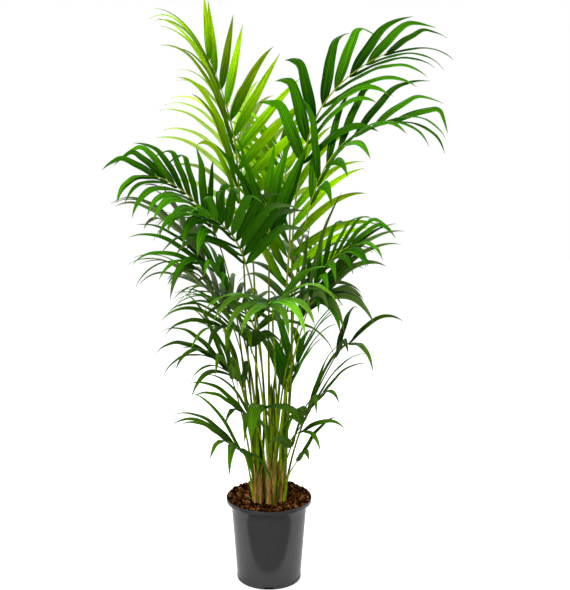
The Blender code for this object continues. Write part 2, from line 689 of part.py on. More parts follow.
class Blocker:
    """A shape that others must keep clear of, with its bounding box."""

    def __init__(self, points, faces):
        self.low = Vector(min(p[k] for p in points) for k in range(3))
        self.high = Vector(max(p[k] for p in points) for k in range(3))
        self.tree = BVHTree.FromPolygons(points, faces)

    def meets(self, other):
        for k in range(3):
            if self.low[k] > other.high[k] or other.low[k] > self.high[k]:
                return False
        return bool(self.tree.overlap(other.tree))


def object_blocker(made):
    points = [made.matrix_world @ vertex.co for vertex in made.data.vertices]
    return Blocker(points, [list(face.vertices) for face in made.data.polygons])


def stalk_changes(reaches, rises):
    """Turns round the stem and shifts of the blade up to the given sizes, smallest first."""
    shifts = [(0, 0), (1, 0), (-1, 0), (0, 1), (0, -1), (1, 1), (-1, -1), (1, -1), (-1, 1)]
    changes = []
    for turn in (0, 22, -22, 44, -44, 66, -66, 90, -90, 120, -120, 150, -150, 180):
        for reach in reaches:
            for x, y in shifts:
                for rise in rises:
                    cost = abs(turn) / 40 + (abs(x) + abs(y)) * reach / 0.01 + abs(rise) / 0.02
                    changes.append((cost, turn, x * reach, y * reach, rise))
    return sorted(changes)


def stalk_tries():
    """Changes to a stalk's way to try: the small ones, then the large ones of a crowded plant."""
    small = stalk_changes((0.012, 0.024, 0.036), (0, 0.012, -0.012, 0.025))
    return small + stalk_changes((0.05, 0.07, 0.1), (0, 0.04, -0.02, 0.06))


def lay_stalks(fixed):
    """A route for every frond that keeps its stalk clear of the stems and of earlier stalks."""
    routes, blockers = [], []
    tries = stalk_tries()
    for frond in FRONDS:
        buds = [bud for route in routes for bud in route.buds]
        for _, turn, x, y, climb in tries:
            route = Route(frond, math.radians(turn), Vector((x, y, 0)), climb)
            slim = stalk_tree(route, CLEARANCE / 2)
            if meets_any([slim], fixed):
                continue
            if meets_any([stalk_tree(route, STALK_CLEARANCE)], blockers + buds):
                continue
            if not meets_any(route.buds, fixed + blockers + buds):
                break
        else:
            print("no clear way for the stalk of", frond.name)
        routes.append(route)
        blockers.append(stalk_tree(route, 0))
    return routes, blockers


def meets_any(shapes, others):
    return any(shape.meets(other) for shape in shapes for other in others)


# Leaflets

Leaf = collections.namedtuple("Leaf", "points aims uppers hand width")
Site = collections.namedtuple("Site", "pair hand jitter")
Change = collections.namedtuple("Change", "tilt lift fan bow size")
NO_CHANGE = Change(0, 0, 0, 0, 1)


def leaf_path(root, aim, upper, length, bow, fold):
    """A leaflet's middle line, its direction and its upper face, as its weight bows it down."""
    points, aims, uppers = [root], [aim], [upper]
    for step in range(BEND_STEPS):
        share = (step + 0.5) / BEND_STEPS
        level = math.hypot(aim.x, aim.y)
        turn = bow * (BOW_POWER + 1) * share ** BOW_POWER * level / BEND_STEPS
        if HOOK_STEPS[0] <= step < HOOK_STEPS[1]:
            turn += fold / (HOOK_STEPS[1] - HOOK_STEPS[0])
        axis = aim.cross(DOWN)
        if axis.length > 1e-4:
            bend = Quaternion(axis, turn)
            aim, upper = bend @ aim, bend @ upper
        root = root + aim * (length / BEND_STEPS)
        points.append(root)
        aims.append(aim)
        uppers.append(upper)
    return points, aims, uppers


def leaf_width(share, width):
    """Width of a leaflet along its length: narrow root, full middle, long point."""
    return width * min(1, LEAF_FOOT_WIDTH + LEAF_SWELL * share) * (1 - share ** LEAF_POINT)


def leaf_on(route, site, change):
    """One leaflet of a pair, hand -1 for left and 1 for right."""
    frond, pair, hand, jitter = route.frond, site.pair, site.hand, site.jitter
    start, end = route.roots[pair]
    point, ahead, side, upper = route.place((start + end) / 2)
    place = pair / max(frond.pairs - 1, 1)
    which = (hand + 1) // 2
    fan = frond.fan[which] + (frond.fan[2] - frond.fan[which]) * place + change.fan + jitter[0]
    lift = frond.lift[which] + change.lift + jitter[1]
    out = side * hand
    raised = out * math.cos(math.radians(lift)) + upper * math.sin(math.radians(lift))
    aim = ahead * math.cos(math.radians(fan)) + raised * math.sin(math.radians(fan))
    aim.normalize()
    face = (upper - aim * upper.dot(aim)).normalized()
    tilt = math.radians(LEAF_TILT + change.tilt)
    face = Quaternion(aim, -hand * tilt) @ face
    grow = 1 - FIRST_PAIR_SHORTER * (1 - place) ** 2 - LAST_PAIR_SHORTER * place ** 2
    full = 1 - LAST_PAIR_NARROWER * place ** 2
    if frond.pairs == 1:
        grow, full = 1, LONE_PAIR_WIDER
    length = frond.length / 100 * LEAFLET_LENGTH * grow * change.size * (1 + jitter[2])
    width = frond.width / 100 * full
    bow = math.radians(frond.bow[which] + change.bow + jitter[3])
    root = point + out * route.half_width(start)
    path = leaf_path(root, aim, face, length, bow, math.radians(frond.fold[which]) * jitter[4])
    return Leaf(*path, hand, width)


def leaf_ring(leaf, step, extra):
    """Four corners across a leaflet: foot side low, tip side low, tip side high, foot side high."""
    middle, aim, upper = leaf.points[step], leaf.aims[step], leaf.uppers[step]
    half = leaf_width(step / BEND_STEPS, leaf.width) / 2 + extra
    across = aim.cross(upper) * -leaf.hand * half
    thin = upper * (LEAF_THICKNESS / 2 + extra)
    return [middle - across - thin, middle + across - thin,
            middle + across + thin, middle - across + thin]


def leaf_sections(leaf, extra=0.0):
    """Rings of four corners along a leaflet, then its tip."""
    length = (leaf.points[1] - leaf.points[0]).length * BEND_STEPS
    steps = LONG_SECTIONS if length > LONG_LEAF else SHORT_SECTIONS
    rings = [leaf_ring(leaf, step, extra) for step in steps]
    return rings, leaf.points[-1] + leaf.aims[-1] * extra


def cone_faces(count):
    """Faces of a leaflet from its first ring out to its tip, with its first ring capped."""
    faces = [[0, 1, 2, 3]]
    for start in range(0, 4 * (count - 1), 4):
        for k in range(4):
            after = (k + 1) % 4
            faces.append([start + k, start + after, start + 4 + after, start + 4 + k])
    last = 4 * (count - 1)
    tip = 4 * count
    faces += [[last + k, last + (k + 1) % 4, tip] for k in range(4)]
    return faces


def leaf_blocker(leaf, extra, root_ring=None):
    rings, tip = leaf_sections(leaf, extra)
    if root_ring:
        rings = [root_ring] + rings
    points = [corner for ring in rings for corner in ring] + [tip]
    return Blocker(points, cone_faces(len(rings)))


def leaf_tries():
    """Small changes to a leaflet's pose to try, least visible first."""
    tries = []
    for tilt in (0, -12, 14):
        for lift in (0, -8, 8, -16, 16, -26, 26, 38):
            for fan in (0, -6, 6, -12, 12, 20):
                for bow in (0, -20, 20, -40):
                    for size in (1, 0.88, 0.74, 0.6, 0.45, 0.3, 0.18):
                        cost = abs(tilt) / 12 + abs(lift) / 8 + abs(fan) / 6 + abs(bow) / 20
                        cost += (1 - size) * 40
                        tries.append((cost, Change(tilt, lift, fan, bow, size)))
    tries.sort()
    return [change for _, change in tries]


def root_corners(route, site):
    """Corners of the stretch of midrib side that a leaflet grows from."""
    start, end = route.roots[site.pair]
    low, high = stalk_ring(route, start), stalk_ring(route, end)
    if site.hand > 0:
        return [low[1], high[1], high[2], low[2]]
    return [low[0], high[0], high[3], low[3]]


def bud_blocker(leaf, root):
    """The first stretch of a leaflet, which everything else leaves room for."""
    points = root + leaf_ring(leaf, BUD_STEP, LEAF_CLEARANCE) + [leaf.points[BUD_STEP + 1]]
    return Blocker(points, cone_faces(2))


def grow_leaves(routes, blockers, fixed):
    """Every frond's leaflets, each bent a little where it would touch another piece."""
    tries = leaf_tries()
    work = [(route, site, bud) for route in routes for site, bud in zip(route.sites, route.buds)]
    placed = []
    for number, (route, site, _) in enumerate(work):
        own = blockers[routes.index(route)]
        root = root_corners(route, site)
        others = fixed + [other for other in blockers if other is not own]
        others += placed + [bud for _, _, bud in work[number + 1:]]
        for change in tries:
            leaf = leaf_on(route, site, change)
            if min(point.z for point in leaf.points) < POT_HEIGHT + ROOM_OVER_POT:
                continue
            whole = leaf_blocker(leaf, LEAF_CLEARANCE, root)
            if meets_any([whole], others):
                continue
            if not leaf_blocker(leaf, LEAF_CLEARANCE).meets(own):
                break
        else:
            print("no clear pose for a leaflet of", route.frond.name, site.pair)
        placed.append(leaf_blocker(leaf, 0, root))
        route.leaves[site.pair, site.hand] = leaf


def make_frond(route):
    """One frond as one closed body: the stalk's sides open out into the leaflets."""
    mesh = bmesh.new()
    rings = [[mesh.verts.new(p) for p in stalk_ring(route, along)] for along in route.rings()]
    first = len(rings) - 2 * route.frond.pairs
    mesh.faces.new(rings[0])
    mesh.faces.new(rings[-1][::-1])
    for index, (low, high) in enumerate(zip(rings, rings[1:])):
        pair, odd = divmod(index - first, 2)
        rooted = index >= first and odd == 0
        for k in range(4):
            after = (k + 1) % 4
            hand = {1: 1, 3: -1}.get(k)
            if rooted and hand:
                add_leaf(mesh, [low[k], high[k], high[after], low[after]], route.leaves[pair, hand])
            else:
                mesh.faces.new([low[k], high[k], high[after], low[after]])
    made = finished(route.frond.name, mesh)
    finish_with(made, "leaf_" + route.frond.shade, SHADES[route.frond.shade], 0.45)
    return made


def add_leaf(mesh, loop, leaf):
    """Draws a leaflet out of one side of the midrib, ring by ring to its tip."""
    rings, tip = leaf_sections(leaf)
    order = (0, 1, 2, 3) if leaf.hand > 0 else (3, 2, 1, 0)
    for ring in rings:
        after_loop = [mesh.verts.new(ring[k]) for k in order]
        for k in range(4):
            after = (k + 1) % 4
            mesh.faces.new([loop[k], loop[after], after_loop[after], after_loop[k]])
        loop = after_loop
    point = mesh.verts.new(tip)
    for k in range(4):
        mesh.faces.new([loop[k], loop[(k + 1) % 4], point])


# Materials

def finish_with(made, name, colour, roughness):
    """Gives the object its own Principled material."""
    material = bpy.data.materials.get(name) or bpy.data.materials.new(name)
    material.use_nodes = True
    shader = material.node_tree.nodes["Principled BSDF"]
    shader.inputs["Base Color"].default_value = (*colour, 1)
    shader.inputs["Roughness"].default_value = roughness
    shader.inputs["Metallic"].default_value = 0
    material.diffuse_color = (*colour, 1)
    made.data.materials.clear()
    made.data.materials.append(material)


def main():
    for old in list(bpy.data.objects):
        bpy.data.objects.remove(old)
    make_pot()
    make_soil()
    fixed = [object_blocker(make_stem(stem)) for stem in STEMS]
    fixed += [object_blocker(make_husk(husk)) for husk in HUSKS]
    routes, blockers = lay_stalks(fixed)
    grow_leaves(routes, blockers, fixed)
    for route in routes:
        make_frond(route)


main()
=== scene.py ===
"""Looks of a potted palm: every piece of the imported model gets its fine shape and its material.

The file is laid out as a Blender add-on and is run as a script. The pot, the soil, the stems, the
dry sheaths and the fronds each have an operator, and so has the studio. Everything is in metres
with +Z up, and -Y is the front. The fronds follow the same layout rules as the solid model, so each
leaflet lies where its solid lies.
"""

import collections
import functools
import itertools
import math
import random

import bpy
import numpy as np
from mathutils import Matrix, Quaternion, Vector, noise
from mathutils.bvhtree import BVHTree


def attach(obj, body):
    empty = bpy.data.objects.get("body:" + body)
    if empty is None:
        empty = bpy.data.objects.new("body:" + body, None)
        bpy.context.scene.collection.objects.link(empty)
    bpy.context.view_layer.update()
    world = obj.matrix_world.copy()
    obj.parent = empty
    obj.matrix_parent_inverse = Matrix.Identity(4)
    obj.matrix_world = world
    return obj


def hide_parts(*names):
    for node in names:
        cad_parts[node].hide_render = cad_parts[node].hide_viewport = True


bl_info = {
    "name": "Potted palm",
    "version": (1, 0, 0),
    "blender": (4, 5, 0),
    "location": "3D View > Sidebar > Potted palm",
    "description": "Models a potted palm's leaves, stems, soil and pot in fine detail",
    "category": "Object",
}

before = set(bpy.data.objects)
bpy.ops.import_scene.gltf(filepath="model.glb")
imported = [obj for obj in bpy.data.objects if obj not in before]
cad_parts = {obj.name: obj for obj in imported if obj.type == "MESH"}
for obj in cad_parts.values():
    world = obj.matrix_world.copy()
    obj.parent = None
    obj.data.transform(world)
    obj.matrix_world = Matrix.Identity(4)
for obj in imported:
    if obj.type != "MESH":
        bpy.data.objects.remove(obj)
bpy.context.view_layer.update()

# Driving dimensions
PLANT_HEIGHT = 1.67  # floor to the top of the tallest frond
FROND_REACH = 1.0  # how far the fronds lean out, against the shape drawn in FRONDS
LEAFLET_LENGTH = 1.0  # leaflet length, against the lengths drawn in FRONDS
POT_HEIGHT = 0.240
POT_RIM_RADIUS = 0.122
POT_BASE_RADIUS = 0.091
POT_WALL = 0.0018
POT_FLOOR = 0.006  # top of the pot's floor above the ground
STEM_GIRTH = 1.0  # stem thickness, against the radii drawn in STEMS
LEAF_THICKNESS = 0.0009
STALK_THICKNESS = 1.0  # frond stalk thickness, against the half-widths below
CLEARANCE = 0.0003  # between pieces that touch
LEAF_CLEARANCE = 0.0008  # between one leaflet and whatever it passes
STALK_CLEARANCE = 0.0030  # between the stalks of two fronds

# The pot's shape
RIM_LIP = 0.011  # upright band under the rim
RIM_FLARE = 0.005  # height of the curved step below that band
RIM_STEP = 0.014  # how far the lip stands out
FLARE_POWER = 2.2  # how late in its height the step swings out
RIDGE_STAND = 0.0005  # how far the fine ridge round the wall stands out
RIDGE_HEIGHT = 0.002
RIDGE_DROP = 0.032  # how far below the lip it runs
FOOT_BAND = 0.0016  # how far the band round the foot stands out
FOOT_HEIGHT = 0.010
FOOT_BEVEL = 0.0015
FOOT_RING = 0.009  # width of the ring that the pot stands on
EDGE_SLOPE = 0.001
PAD_RADIUS = 0.030  # flat pad in the middle of the underside
PAD_SLOPE = 0.002
PAD_DEPTH = 0.003
CORNER_RISE = 0.004  # rounding inside, where the wall meets the floor
CORNER_INSET = 0.003
DRAIN_NOTCHES = 4
NOTCH_WIDTH = 0.027
NOTCH_HEIGHT = 0.007
NOTCH_LENGTH = 0.005  # how far a notch reaches inside the ring that the pot stands on
DRAIN_HOLES = 6
DRAIN_HOLE_RADIUS = 0.007
CUTTER_OVERSHOOT = 0.010

# The soil's shape
SOIL_DIP = 0.013  # how much lower the soil is round the stems than at the pot's wall
SOIL_DISH_RIM = 1.15  # the soil is level again this much inside the rim
SOIL_BELOW_RIM = 0.004
SOIL_LUMP = 0.0035
SOIL_EDGE = 0.002  # how far the lumpy top starts inside the wall
SOIL_WAVES = ((95, 2.1), (83, -0.7), (160, 71), (210, -130))  # how closely the lumps follow
SOIL_WAVE_SHARES = (0.6, 0.4)
SOIL_LEVEL = POT_HEIGHT - SOIL_BELOW_RIM - SOIL_DIP

# Stem shape
STEM_NARROWING = 0.62  # how much thinner a stem is at its top, as a share
STEM_NARROWING_POWER = 0.85

# Stalk shape
STALK_HALF_WIDTHS = (0.0052, 0.0026, 0.0011)  # at the foot, at the first leaflets, at the tip
STALK_DEPTH_SHARE = 0.62  # depth of a stalk against its width
STALK_THINNING = 1.5  # how soon a stalk thins out above its foot
STALK_PIECES = 7
STALK_STEPS = 24  # points along a stalk, and along each half of its midrib
BLADE_STEPS = 16
STALK_LEAN = 0.10  # how much a stalk leaves its stem outwards rather than upwards
STALK_TURNS = (0, 22, -22, 44, -44, 66, -66, 90, -90, 120, -120, 150, -150, 180)
STALK_SHIFTS = ((0, 0), (1, 0), (-1, 0), (0, 1), (0, -1), (1, 1), (-1, -1), (1, -1), (-1, 1))
SMALL_CHANGES = (0.012, 0.024, 0.036), (0, 0.012, -0.012, 0.025)  # blade shifts, foot rises
LARGE_CHANGES = (0.05, 0.07, 0.1), (0, 0.04, -0.02, 0.06)
STALK_CHANGE_STEPS = (40, 0.01, 0.02)  # a turn, a shift and a rise that show equally

# Leaflet shape
BEND_STEPS = 20
BUD_STEP = 2  # how far out a leaflet's room is kept free before it has its final pose
LONG_LEAF = 0.17
LONG_SECTIONS = (3, 9, 15)  # steps at which a leaflet's solid has a ring of corners
SHORT_SECTIONS = (5, 13)
LEAF_ROOT_SHARE = 0.36  # length along the midrib that a leaflet grows from, against its width
LEAF_ROOT_LIMIT = 0.4  # the same against the distance between two pairs
LEAF_TILT = 22  # degrees that leaflets are turned on their own axis, like the slats of a blind
LEAF_FOOT_WIDTH = 0.34  # width at the midrib against the full width
LEAF_SWELL = 2.6  # how soon a leaflet is at its full width
LEAF_POINT = 2.3  # how late it narrows to its point
FIRST_PAIR_SHORTER = 0.12
LAST_PAIR_SHORTER = 0.36
LAST_PAIR_NARROWER = 0.3
LONE_PAIR_WIDER = 1.2
BOW_POWER = 1.2  # how much a leaflet bows near its tip rather than at its root
HOOK_STEPS = (12, 15)  # where a folded-over leaflet folds
ROOM_OVER_POT = 0.012  # between the pot and the leaflets above it
UPRIGHT = 1e-4  # a leaflet this close to upright bows no further
TILTS = (0, -12, 14)  # changes of a leaflet's pose that are tried, in degrees
LIFTS = (0, -8, 8, -16, 16, -26, 26, 38)
FANS = (0, -6, 6, -12, 12, 20)
BOWS = (0, -20, 20, -40)
SIZES = (1, 0.88, 0.74, 0.6, 0.45, 0.3, 0.18)
CHANGE_STEPS = (12, 8, 6, 20)  # a tilt, lift, fan and bow that show equally
SHRINK_COST = 40
JITTERS = ((-4, 4), (-5, 5), (-0.1, 0.06), (-14, 14), (0.2, 1.2))  # fan, lift, length, bow, fold
JITTER_SEED = 7

DRAWN_SOIL = 0.23  # soil level and highest midrib tip of the plant drawn in FRONDS
DRAWN_TIP = 1.49
TOP_LEAF_RISE = 0.190  # how far the top leaflets stand above the highest midrib tip
DOWN = Vector((0, 0, -1))
UP = Vector((0, 0, 1))

Stem = collections.namedtuple("Stem", "name x y radius height lean_x lean_y")
STEMS = [
    Stem("stem_front_left", -3.0, -2.0, 1.25, 25, -5, -2),
    Stem("stem_left", -2.2, 1.8, 1.15, 31, -3, 2),
    Stem("stem_front", 0.7, -2.4, 1.40, 33, 0, -3),
    Stem("stem_right", 3.4, -0.6, 1.30, 34, 4, 0),
    Stem("stem_back", 0.8, 3.0, 1.20, 30, 2, 4),
]

Husk = collections.namedtuple("Husk", "name stem height facing span")
HUSKS = [
    Husk("sheath_front", 2, 13.0, -115, 125),
    Husk("sheath_front_left", 0, 9.5, -80, 120),
    Husk("sheath_right", 3, 11.5, -135, 115),
    Husk("sheath_left", 1, 10.0, 165, 130),
    Husk("sheath_back", 4, 8.0, 90, 140),
]
HUSK_THICKNESS = 0.0011

# Fronds, drawn in centimetres and degrees: the stem each grows from, how far up that stem its foot
# sits, three points that its midrib passes (first leaflets, top of the arch, tip), pairs of
# leaflets, leaflet length and width, angle between midrib and leaflet (left and right ones at the
# first pair, both at the last), how far the left and right leaflets are raised, how far they bow
# down, roll of the whole blade, fold near the leaflets' tips, and the shade of green.
Frond = collections.namedtuple(
    "Frond",
    "name stem foot neck arch tip pairs length width fan lift bow roll fold shade",
)
FRONDS = [
    Frond("crown_centre_frond", 2, 26, (0, -4, 97), (0, -4, 103), (-1, -2, 109),
          4, 30, 3.6, (26, 24, 20), (8, 8), (14, 14), 0, (0, 0), "deep"),
    Frond("top_left_frond", 1, 17, (-8, 2, 108), (-10, 6, 128), (-17, 12, 149),
          10, 36, 3.3, (34, 54, 18), (30, 10), (95, 18), 0, (0, 0), "lime"),
    Frond("top_back_frond", 1, 21, (-5, 12, 97), (-8, 18, 117), (-13, 28, 137),
          10, 33, 3.0, (46, 40, 24), (8, 8), (80, 50), 0, (0, 0), "pale"),
    Frond("centre_back_frond", 4, 19, (5, 8, 84), (6, 13, 104), (3, 22, 125),
          11, 33, 3.0, (38, 50, 26), (12, 12), (45, 55), 0, (0, 0), "lime"),
    Frond("high_right_frond", 3, 24, (9, 3, 119), (16, 4, 137), (32, 3, 149),
          8, 32, 4.2, (38, 46, 18), (26, 0), (40, 75), 32, (70, 0), "deep"),
    Frond("right_arching_frond", 3, 20, (11, -5, 108), (19, -8, 124), (32, -12, 130),
          7, 31, 4.0, (38, 50, 18), (36, 0), (55, 85), 20, (60, 0), "deep"),
    Frond("long_left_frond", 0, 18, (-14, -8, 100), (-20, -11, 110), (-29, -15, 116),
          9, 26, 3.7, (56, 48, 20), (0, 30), (105, 50), -30, (0, 70), "deep"),
    Frond("front_left_fan", 2, 22, (-6, -13, 93), (-10, -19, 102), (-15, -26, 106),
          9, 25, 3.1, (58, 58, 26), (42, 10), (50, 100), 0, (40, 0), "deep"),
    Frond("left_grey_frond", 0, 16, (-17, -3, 88), (-20, -2, 96), (-25, 0, 101),
          7, 32, 3.4, (44, 44, 24), (10, 15), (90, 85), 25, (0, 0), "grey"),
    Frond("left_low_arch", 0, 13, (-11, -6, 85), (-15, -9, 91), (-19, -11, 93),
          6, 32, 3.0, (48, 48, 24), (15, 15), (80, 75), -20, (0, 0), "deep"),
    Frond("left_back_arch", 1, 12, (-11, -1, 77), (-15, 1, 83), (-20, 3, 86),
          6, 31, 2.9, (48, 48, 24), (15, 15), (85, 85), 15, (0, 0), "grey"),
    Frond("right_mid_frond", 3, 17, (11, -6, 82), (15, -9, 92), (21, -13, 98),
          8, 25, 3.2, (50, 60, 22), (25, 5), (80, 95), 28, (40, 0), "deep"),
    Frond("right_long_arch", 2, 15, (9, -9, 76), (12, -12, 82), (15, -15, 85),
          6, 37, 3.4, (32, 36, 20), (20, 10), (75, 85), 45, (0, 0), "grey"),
    Frond("front_light_frond", 2, 18, (1, -11, 78), (1, -20, 84), (0, -29, 85),
          7, 25, 3.5, (64, 62, 30), (18, 18), (110, 105), 0, (0, 0), "fresh"),
    Frond("right_thin_frond", 3, 6, (18, -4, 66), (20, -5, 69), (22, -7, 71),
          2, 29, 2.9, (46, 44, 26), (20, 10), (85, 85), 28, (0, 0), "green"),
    Frond("right_low_frond", 4, 8, (7, -5, 48), (9, -8, 53), (11, -10, 56),
          4, 30, 3.2, (50, 46, 24), (20, 12), (85, 88), 26, (0, 0), "green"),
    Frond("right_base_frond", 2, 4, (6, -6, 41), (7, -8, 45), (9, -10, 47),
          2, 22, 3.0, (46, 42, 26), (16, 16), (85, 88), 26, (0, 0), "green"),
    Frond("soil_right_shoot", 3, 3, (6, -8, 35), (7, -9, 37), (8, -10, 39),
          1, 17, 2.6, (32, 30, 28), (14, 14), (85, 85), 26, (0, 0), "green"),
    Frond("left_mid_frond", 0, 10, (-9, -4, 60), (-11, -6, 65), (-14, -7, 67),
          5, 29, 3.1, (48, 46, 24), (18, 16), (90, 88), -22, (0, 0), "green"),
    Frond("front_left_frond", 2, 12, (-5, -8, 70), (-8, -12, 75), (-12, -15, 77),
          6, 28, 3.0, (50, 50, 24), (18, 16), (95, 90), -18, (0, 0), "green"),
    Frond("left_inner_frond", 1, 8, (-6, 2, 55), (-8, 1, 59), (-10, 0, 61),
          3, 28, 3.1, (44, 42, 26), (18, 16), (88, 85), -22, (0, 0), "green"),
    Frond("left_base_frond", 0, 3, (-7, -8, 40), (-9, -11, 43), (-11, -13, 45),
          4, 26, 3.2, (54, 50, 26), (16, 14), (88, 82), -25, (0, 0), "green"),
    Frond("left_base_shoot", 2, 6, (-6, -7, 48), (-8, -9, 51), (-10, -11, 53),
          3, 24, 3.1, (46, 44, 26), (14, 12), (90, 85), -22, (0, 0), "green"),
    Frond("young_front_leaf", 3, 13, (0, -13, 52), (-1, -15, 55), (-1, -17, 56),
          1, 17, 3.9, (38, 18, 30), (8, 4), (140, 200), 0, (0, 0), "green"),
    Frond("centre_upright_frond", 4, 11, (5, 2, 54), (7, 1, 61), (9, -1, 67),
          5, 28, 2.9, (34, 34, 24), (16, 16), (60, 60), 0, (0, 0), "deep"),
    Frond("back_right_frond", 4, 14, (6, 19, 78), (11, 29, 89), (15, 38, 94),
          8, 29, 2.7, (52, 52, 24), (16, 16), (90, 90), 0, (0, 0), "grey"),
    Frond("back_left_frond", 1, 15, (-4, 15, 70), (-9, 24, 77), (-14, 31, 80),
          7, 28, 2.7, (52, 52, 24), (16, 16), (90, 90), 0, (0, 0), "green"),
]

# Fine shapes
LEAF_COLUMNS = 8
BLADE_ROOT = 0.24  # width of a leaflet where it leaves the midrib, against its full width
BLADE_SWELL = 0.10  # share of its length over which it widens
BLADE_TIP_WIDTH = 0.0005
BLADE_SINK = 0.002  # how far a leaflet's root reaches into the midrib
KEEL_AT_ROOT = 48  # degrees that both halves of a leaflet slope down where it leaves the midrib
KEEL_FADE = 0.07  # share of its length over which that fold opens out
PLEATS = 4  # pleats in each half of a leaflet
TWIST_POWER = 1.5
EDGE_WAVES = (1.5, 3.5)  # waves along a leaflet's edge
EDGE_THINNING = 0.5
SHARP_ANGLE = 52  # edges that bend more than this stay sharp
STALK_FINE_SIDES = 10
BASE_RINGS = 12
STALK_RINGS = 60
STALK_RING_SHARE = 0.5  # share of the rings that lies below the first leaflets
BASE_LENGTH = 0.18  # how far a stalk's base runs down its stem
BASE_BURIED = 0.006
BASE_WIDENING = 0.75
BASE_DEEPENING = 0.5
BASE_SUNK = 0.6  # how far a stalk's base is sunk in its stem at its lower end
RACHIS_SWELL = 1.4  # how much thicker a midrib is than its solid, in the leafy part
RACHIS_SWELL_RATE = 8
STALK_FULLNESS = 1.15
STALK_GROOVE = 0.35
GROOVE_WIDTH = 0.4
GROOVE_START = 0.2
STEM_FINE_SIDES = 28
STEM_RINGS = 30
STEM_LOBE = 0.07  # how far a stem's wrapped leaf bases stand out, against its radius
STEM_LOBES = 3
STEM_TWIST = 9
STEM_SPEAR = 0.03  # the closed point at the top of a stem
SPEAR_CLOSING = 0.93
STEM_FOOT = 0.02
HUSK_TEARS = 4
HUSK_FIBRES = 40
HUSK_STRIP_WIDTHS = (0.0036, 0.0078)
HUSK_STRIP_PLACES = (0.2, 0.8)
HUSK_STRIP_TOPS = (0.5, 1.7)  # against the sheath's height
HUSK_DRIFT = 0.35  # radians that a strip runs round the stem at most
HUSK_CURLS = (0.001, 0.012)  # how far a strip's tip stands away from the stem
HUSK_STAND = 0.0032
HUSK_LAYERS = 3
HUSK_LAYER = 0.0008
HUSK_BULGE = 0.10
HUSK_FIBRE_RADII = (0.0003, 0.0006)
HUSK_FIBRE_FEET = (0, 0.7)  # where fibres start and how long they are, in sheath heights
HUSK_FIBRE_LENGTHS = (0.25, 0.6)
HUSK_FIBRE_SWING = 0.9
HUSK_FIBRE_LIFT = 0.008
HUSK_FIBRE_STAND = 0.0018
TEAR_WIDTHS = (0.7, 1.1)  # uneven edge of a strip, against its width
TEAR_POINT = 0.85
FIBRE_END = 0.35  # thickness of a fibre's ends against its middle
FIBRE_RINGS = 8
BED_SIDES = 96
BED_RINGS = 30
BED_CRUMB = 0.0022
BED_CRUMBS = ((110, 0.5), (260, 0.3))  # fineness and share of the larger and the smaller crumbs
BED_DROP = 0.002  # the bed lies this much below the solid's top, to leave room for its chips
CHIP_SIZES = (0.0024, 0.0058)
CHIP_FLATNESSES = (0.55, 0.4, 0.7, 0.3)
CHIP_NARROWNESS = 0.62
CHIP_UNEVENNESS = 0.3
CHIP_FORMS = ((0.8, 1.7), (0.7, 1.1), (0.7, 1.1))  # length, width and height, in chip sizes
CHIP_TUMBLE = 0.6  # how far chips lie from flat, in radians
CHIP_DEPTHS = (-0.0015, 0.0035)  # a chip's middle against the soil's surface
CHIP_FROM_WALL = 0.8
CHIP_SHARP_ANGLE = 24
LARGE_CHIP = 1.5
LARGE_CHIP_SHARE = 0.12
RIM_HEAP = 0.008  # how much higher the chips lie along the rim
RIM_HEAP_WIDTH = 0.008
RIM_HEAP_SHARE = 0.16  # share of the chips that lie along the rim
COIR_RINGS = 6
COIR_BEND = 1.6
COIR_LENGTHS = (0.008, 0.026)
COIR_LIFTS = (0.001, 0.005)
COIR_STAND = 0.0015
COIR_RADII = (0.00025, 0.0006)
COIR_TONES = (0.75, 1)
COIR_FROM_RIM = 0.014
COIR_ROOM = 0.004
POT_FINE_SIDES = 144
POT_EDGE = 0.0006
WALL_SHARES = (0.02, 0.25, 0.5, 0.75, 0.97)  # heights at which the plain wall is drawn
STEP_SHARES = (0.2, 0.4, 0.55, 0.7, 0.8, 0.88, 0.95)
LIP_ROUNDING = 0.0008  # rounding of the lip's lower edge
RIDGE_FORM = ((-1, 0), (-0.6, 0.8), (0, 1), (0.6, 0.8), (1, 0))
DRAIN_HOLE_SIDES = 24
DRAIN_DRILL = 0.04
POT_SHARP_ANGLE = 32

# Light and view
CARD_NEAR = 0.17  # where the dark card in front of the pot starts
CARD_SIZE = 6.0
CARD_HEIGHT = 0.002
FLOOR_SIZE = 14
FLOOR_MIDDLE = (0, 2, 0)
SOFTBOXES = (
    # name, setting of its power, place, what it points at, size
    ("key_light", "key", (-1.5, -2.3, 2.7), (0, 0, 0.9), (1.8, 1.8)),
    ("fill_light", "fill", (2.2, -1.6, 1.6), (0, 0, 0.9), (1.2, 2.2)),
    ("back_light", "back", (0.3, 2.2, 2.6), (0, 0, 1.2), (2.4, 1.6)),
)
FLOOR_SHADE = (0.088, 0.094)  # the floor has painted shade under the pot and is plain white further out
DARK_BEHIND = (-0.25, -0.05)  # between these directions the surroundings turn from dark to white
CAMERA_DISTANCE = 2.40
CAMERA_HEIGHT = 1.16
CAMERA_PITCH = 8
FILM_SIZE = 36  # millimetres, like the focal length, along the picture's longer side
FOCAL_LENGTH = 53.207
VIEW_SHIFT = 0.02712  # how far left of the middle the plant stands, against the longer side

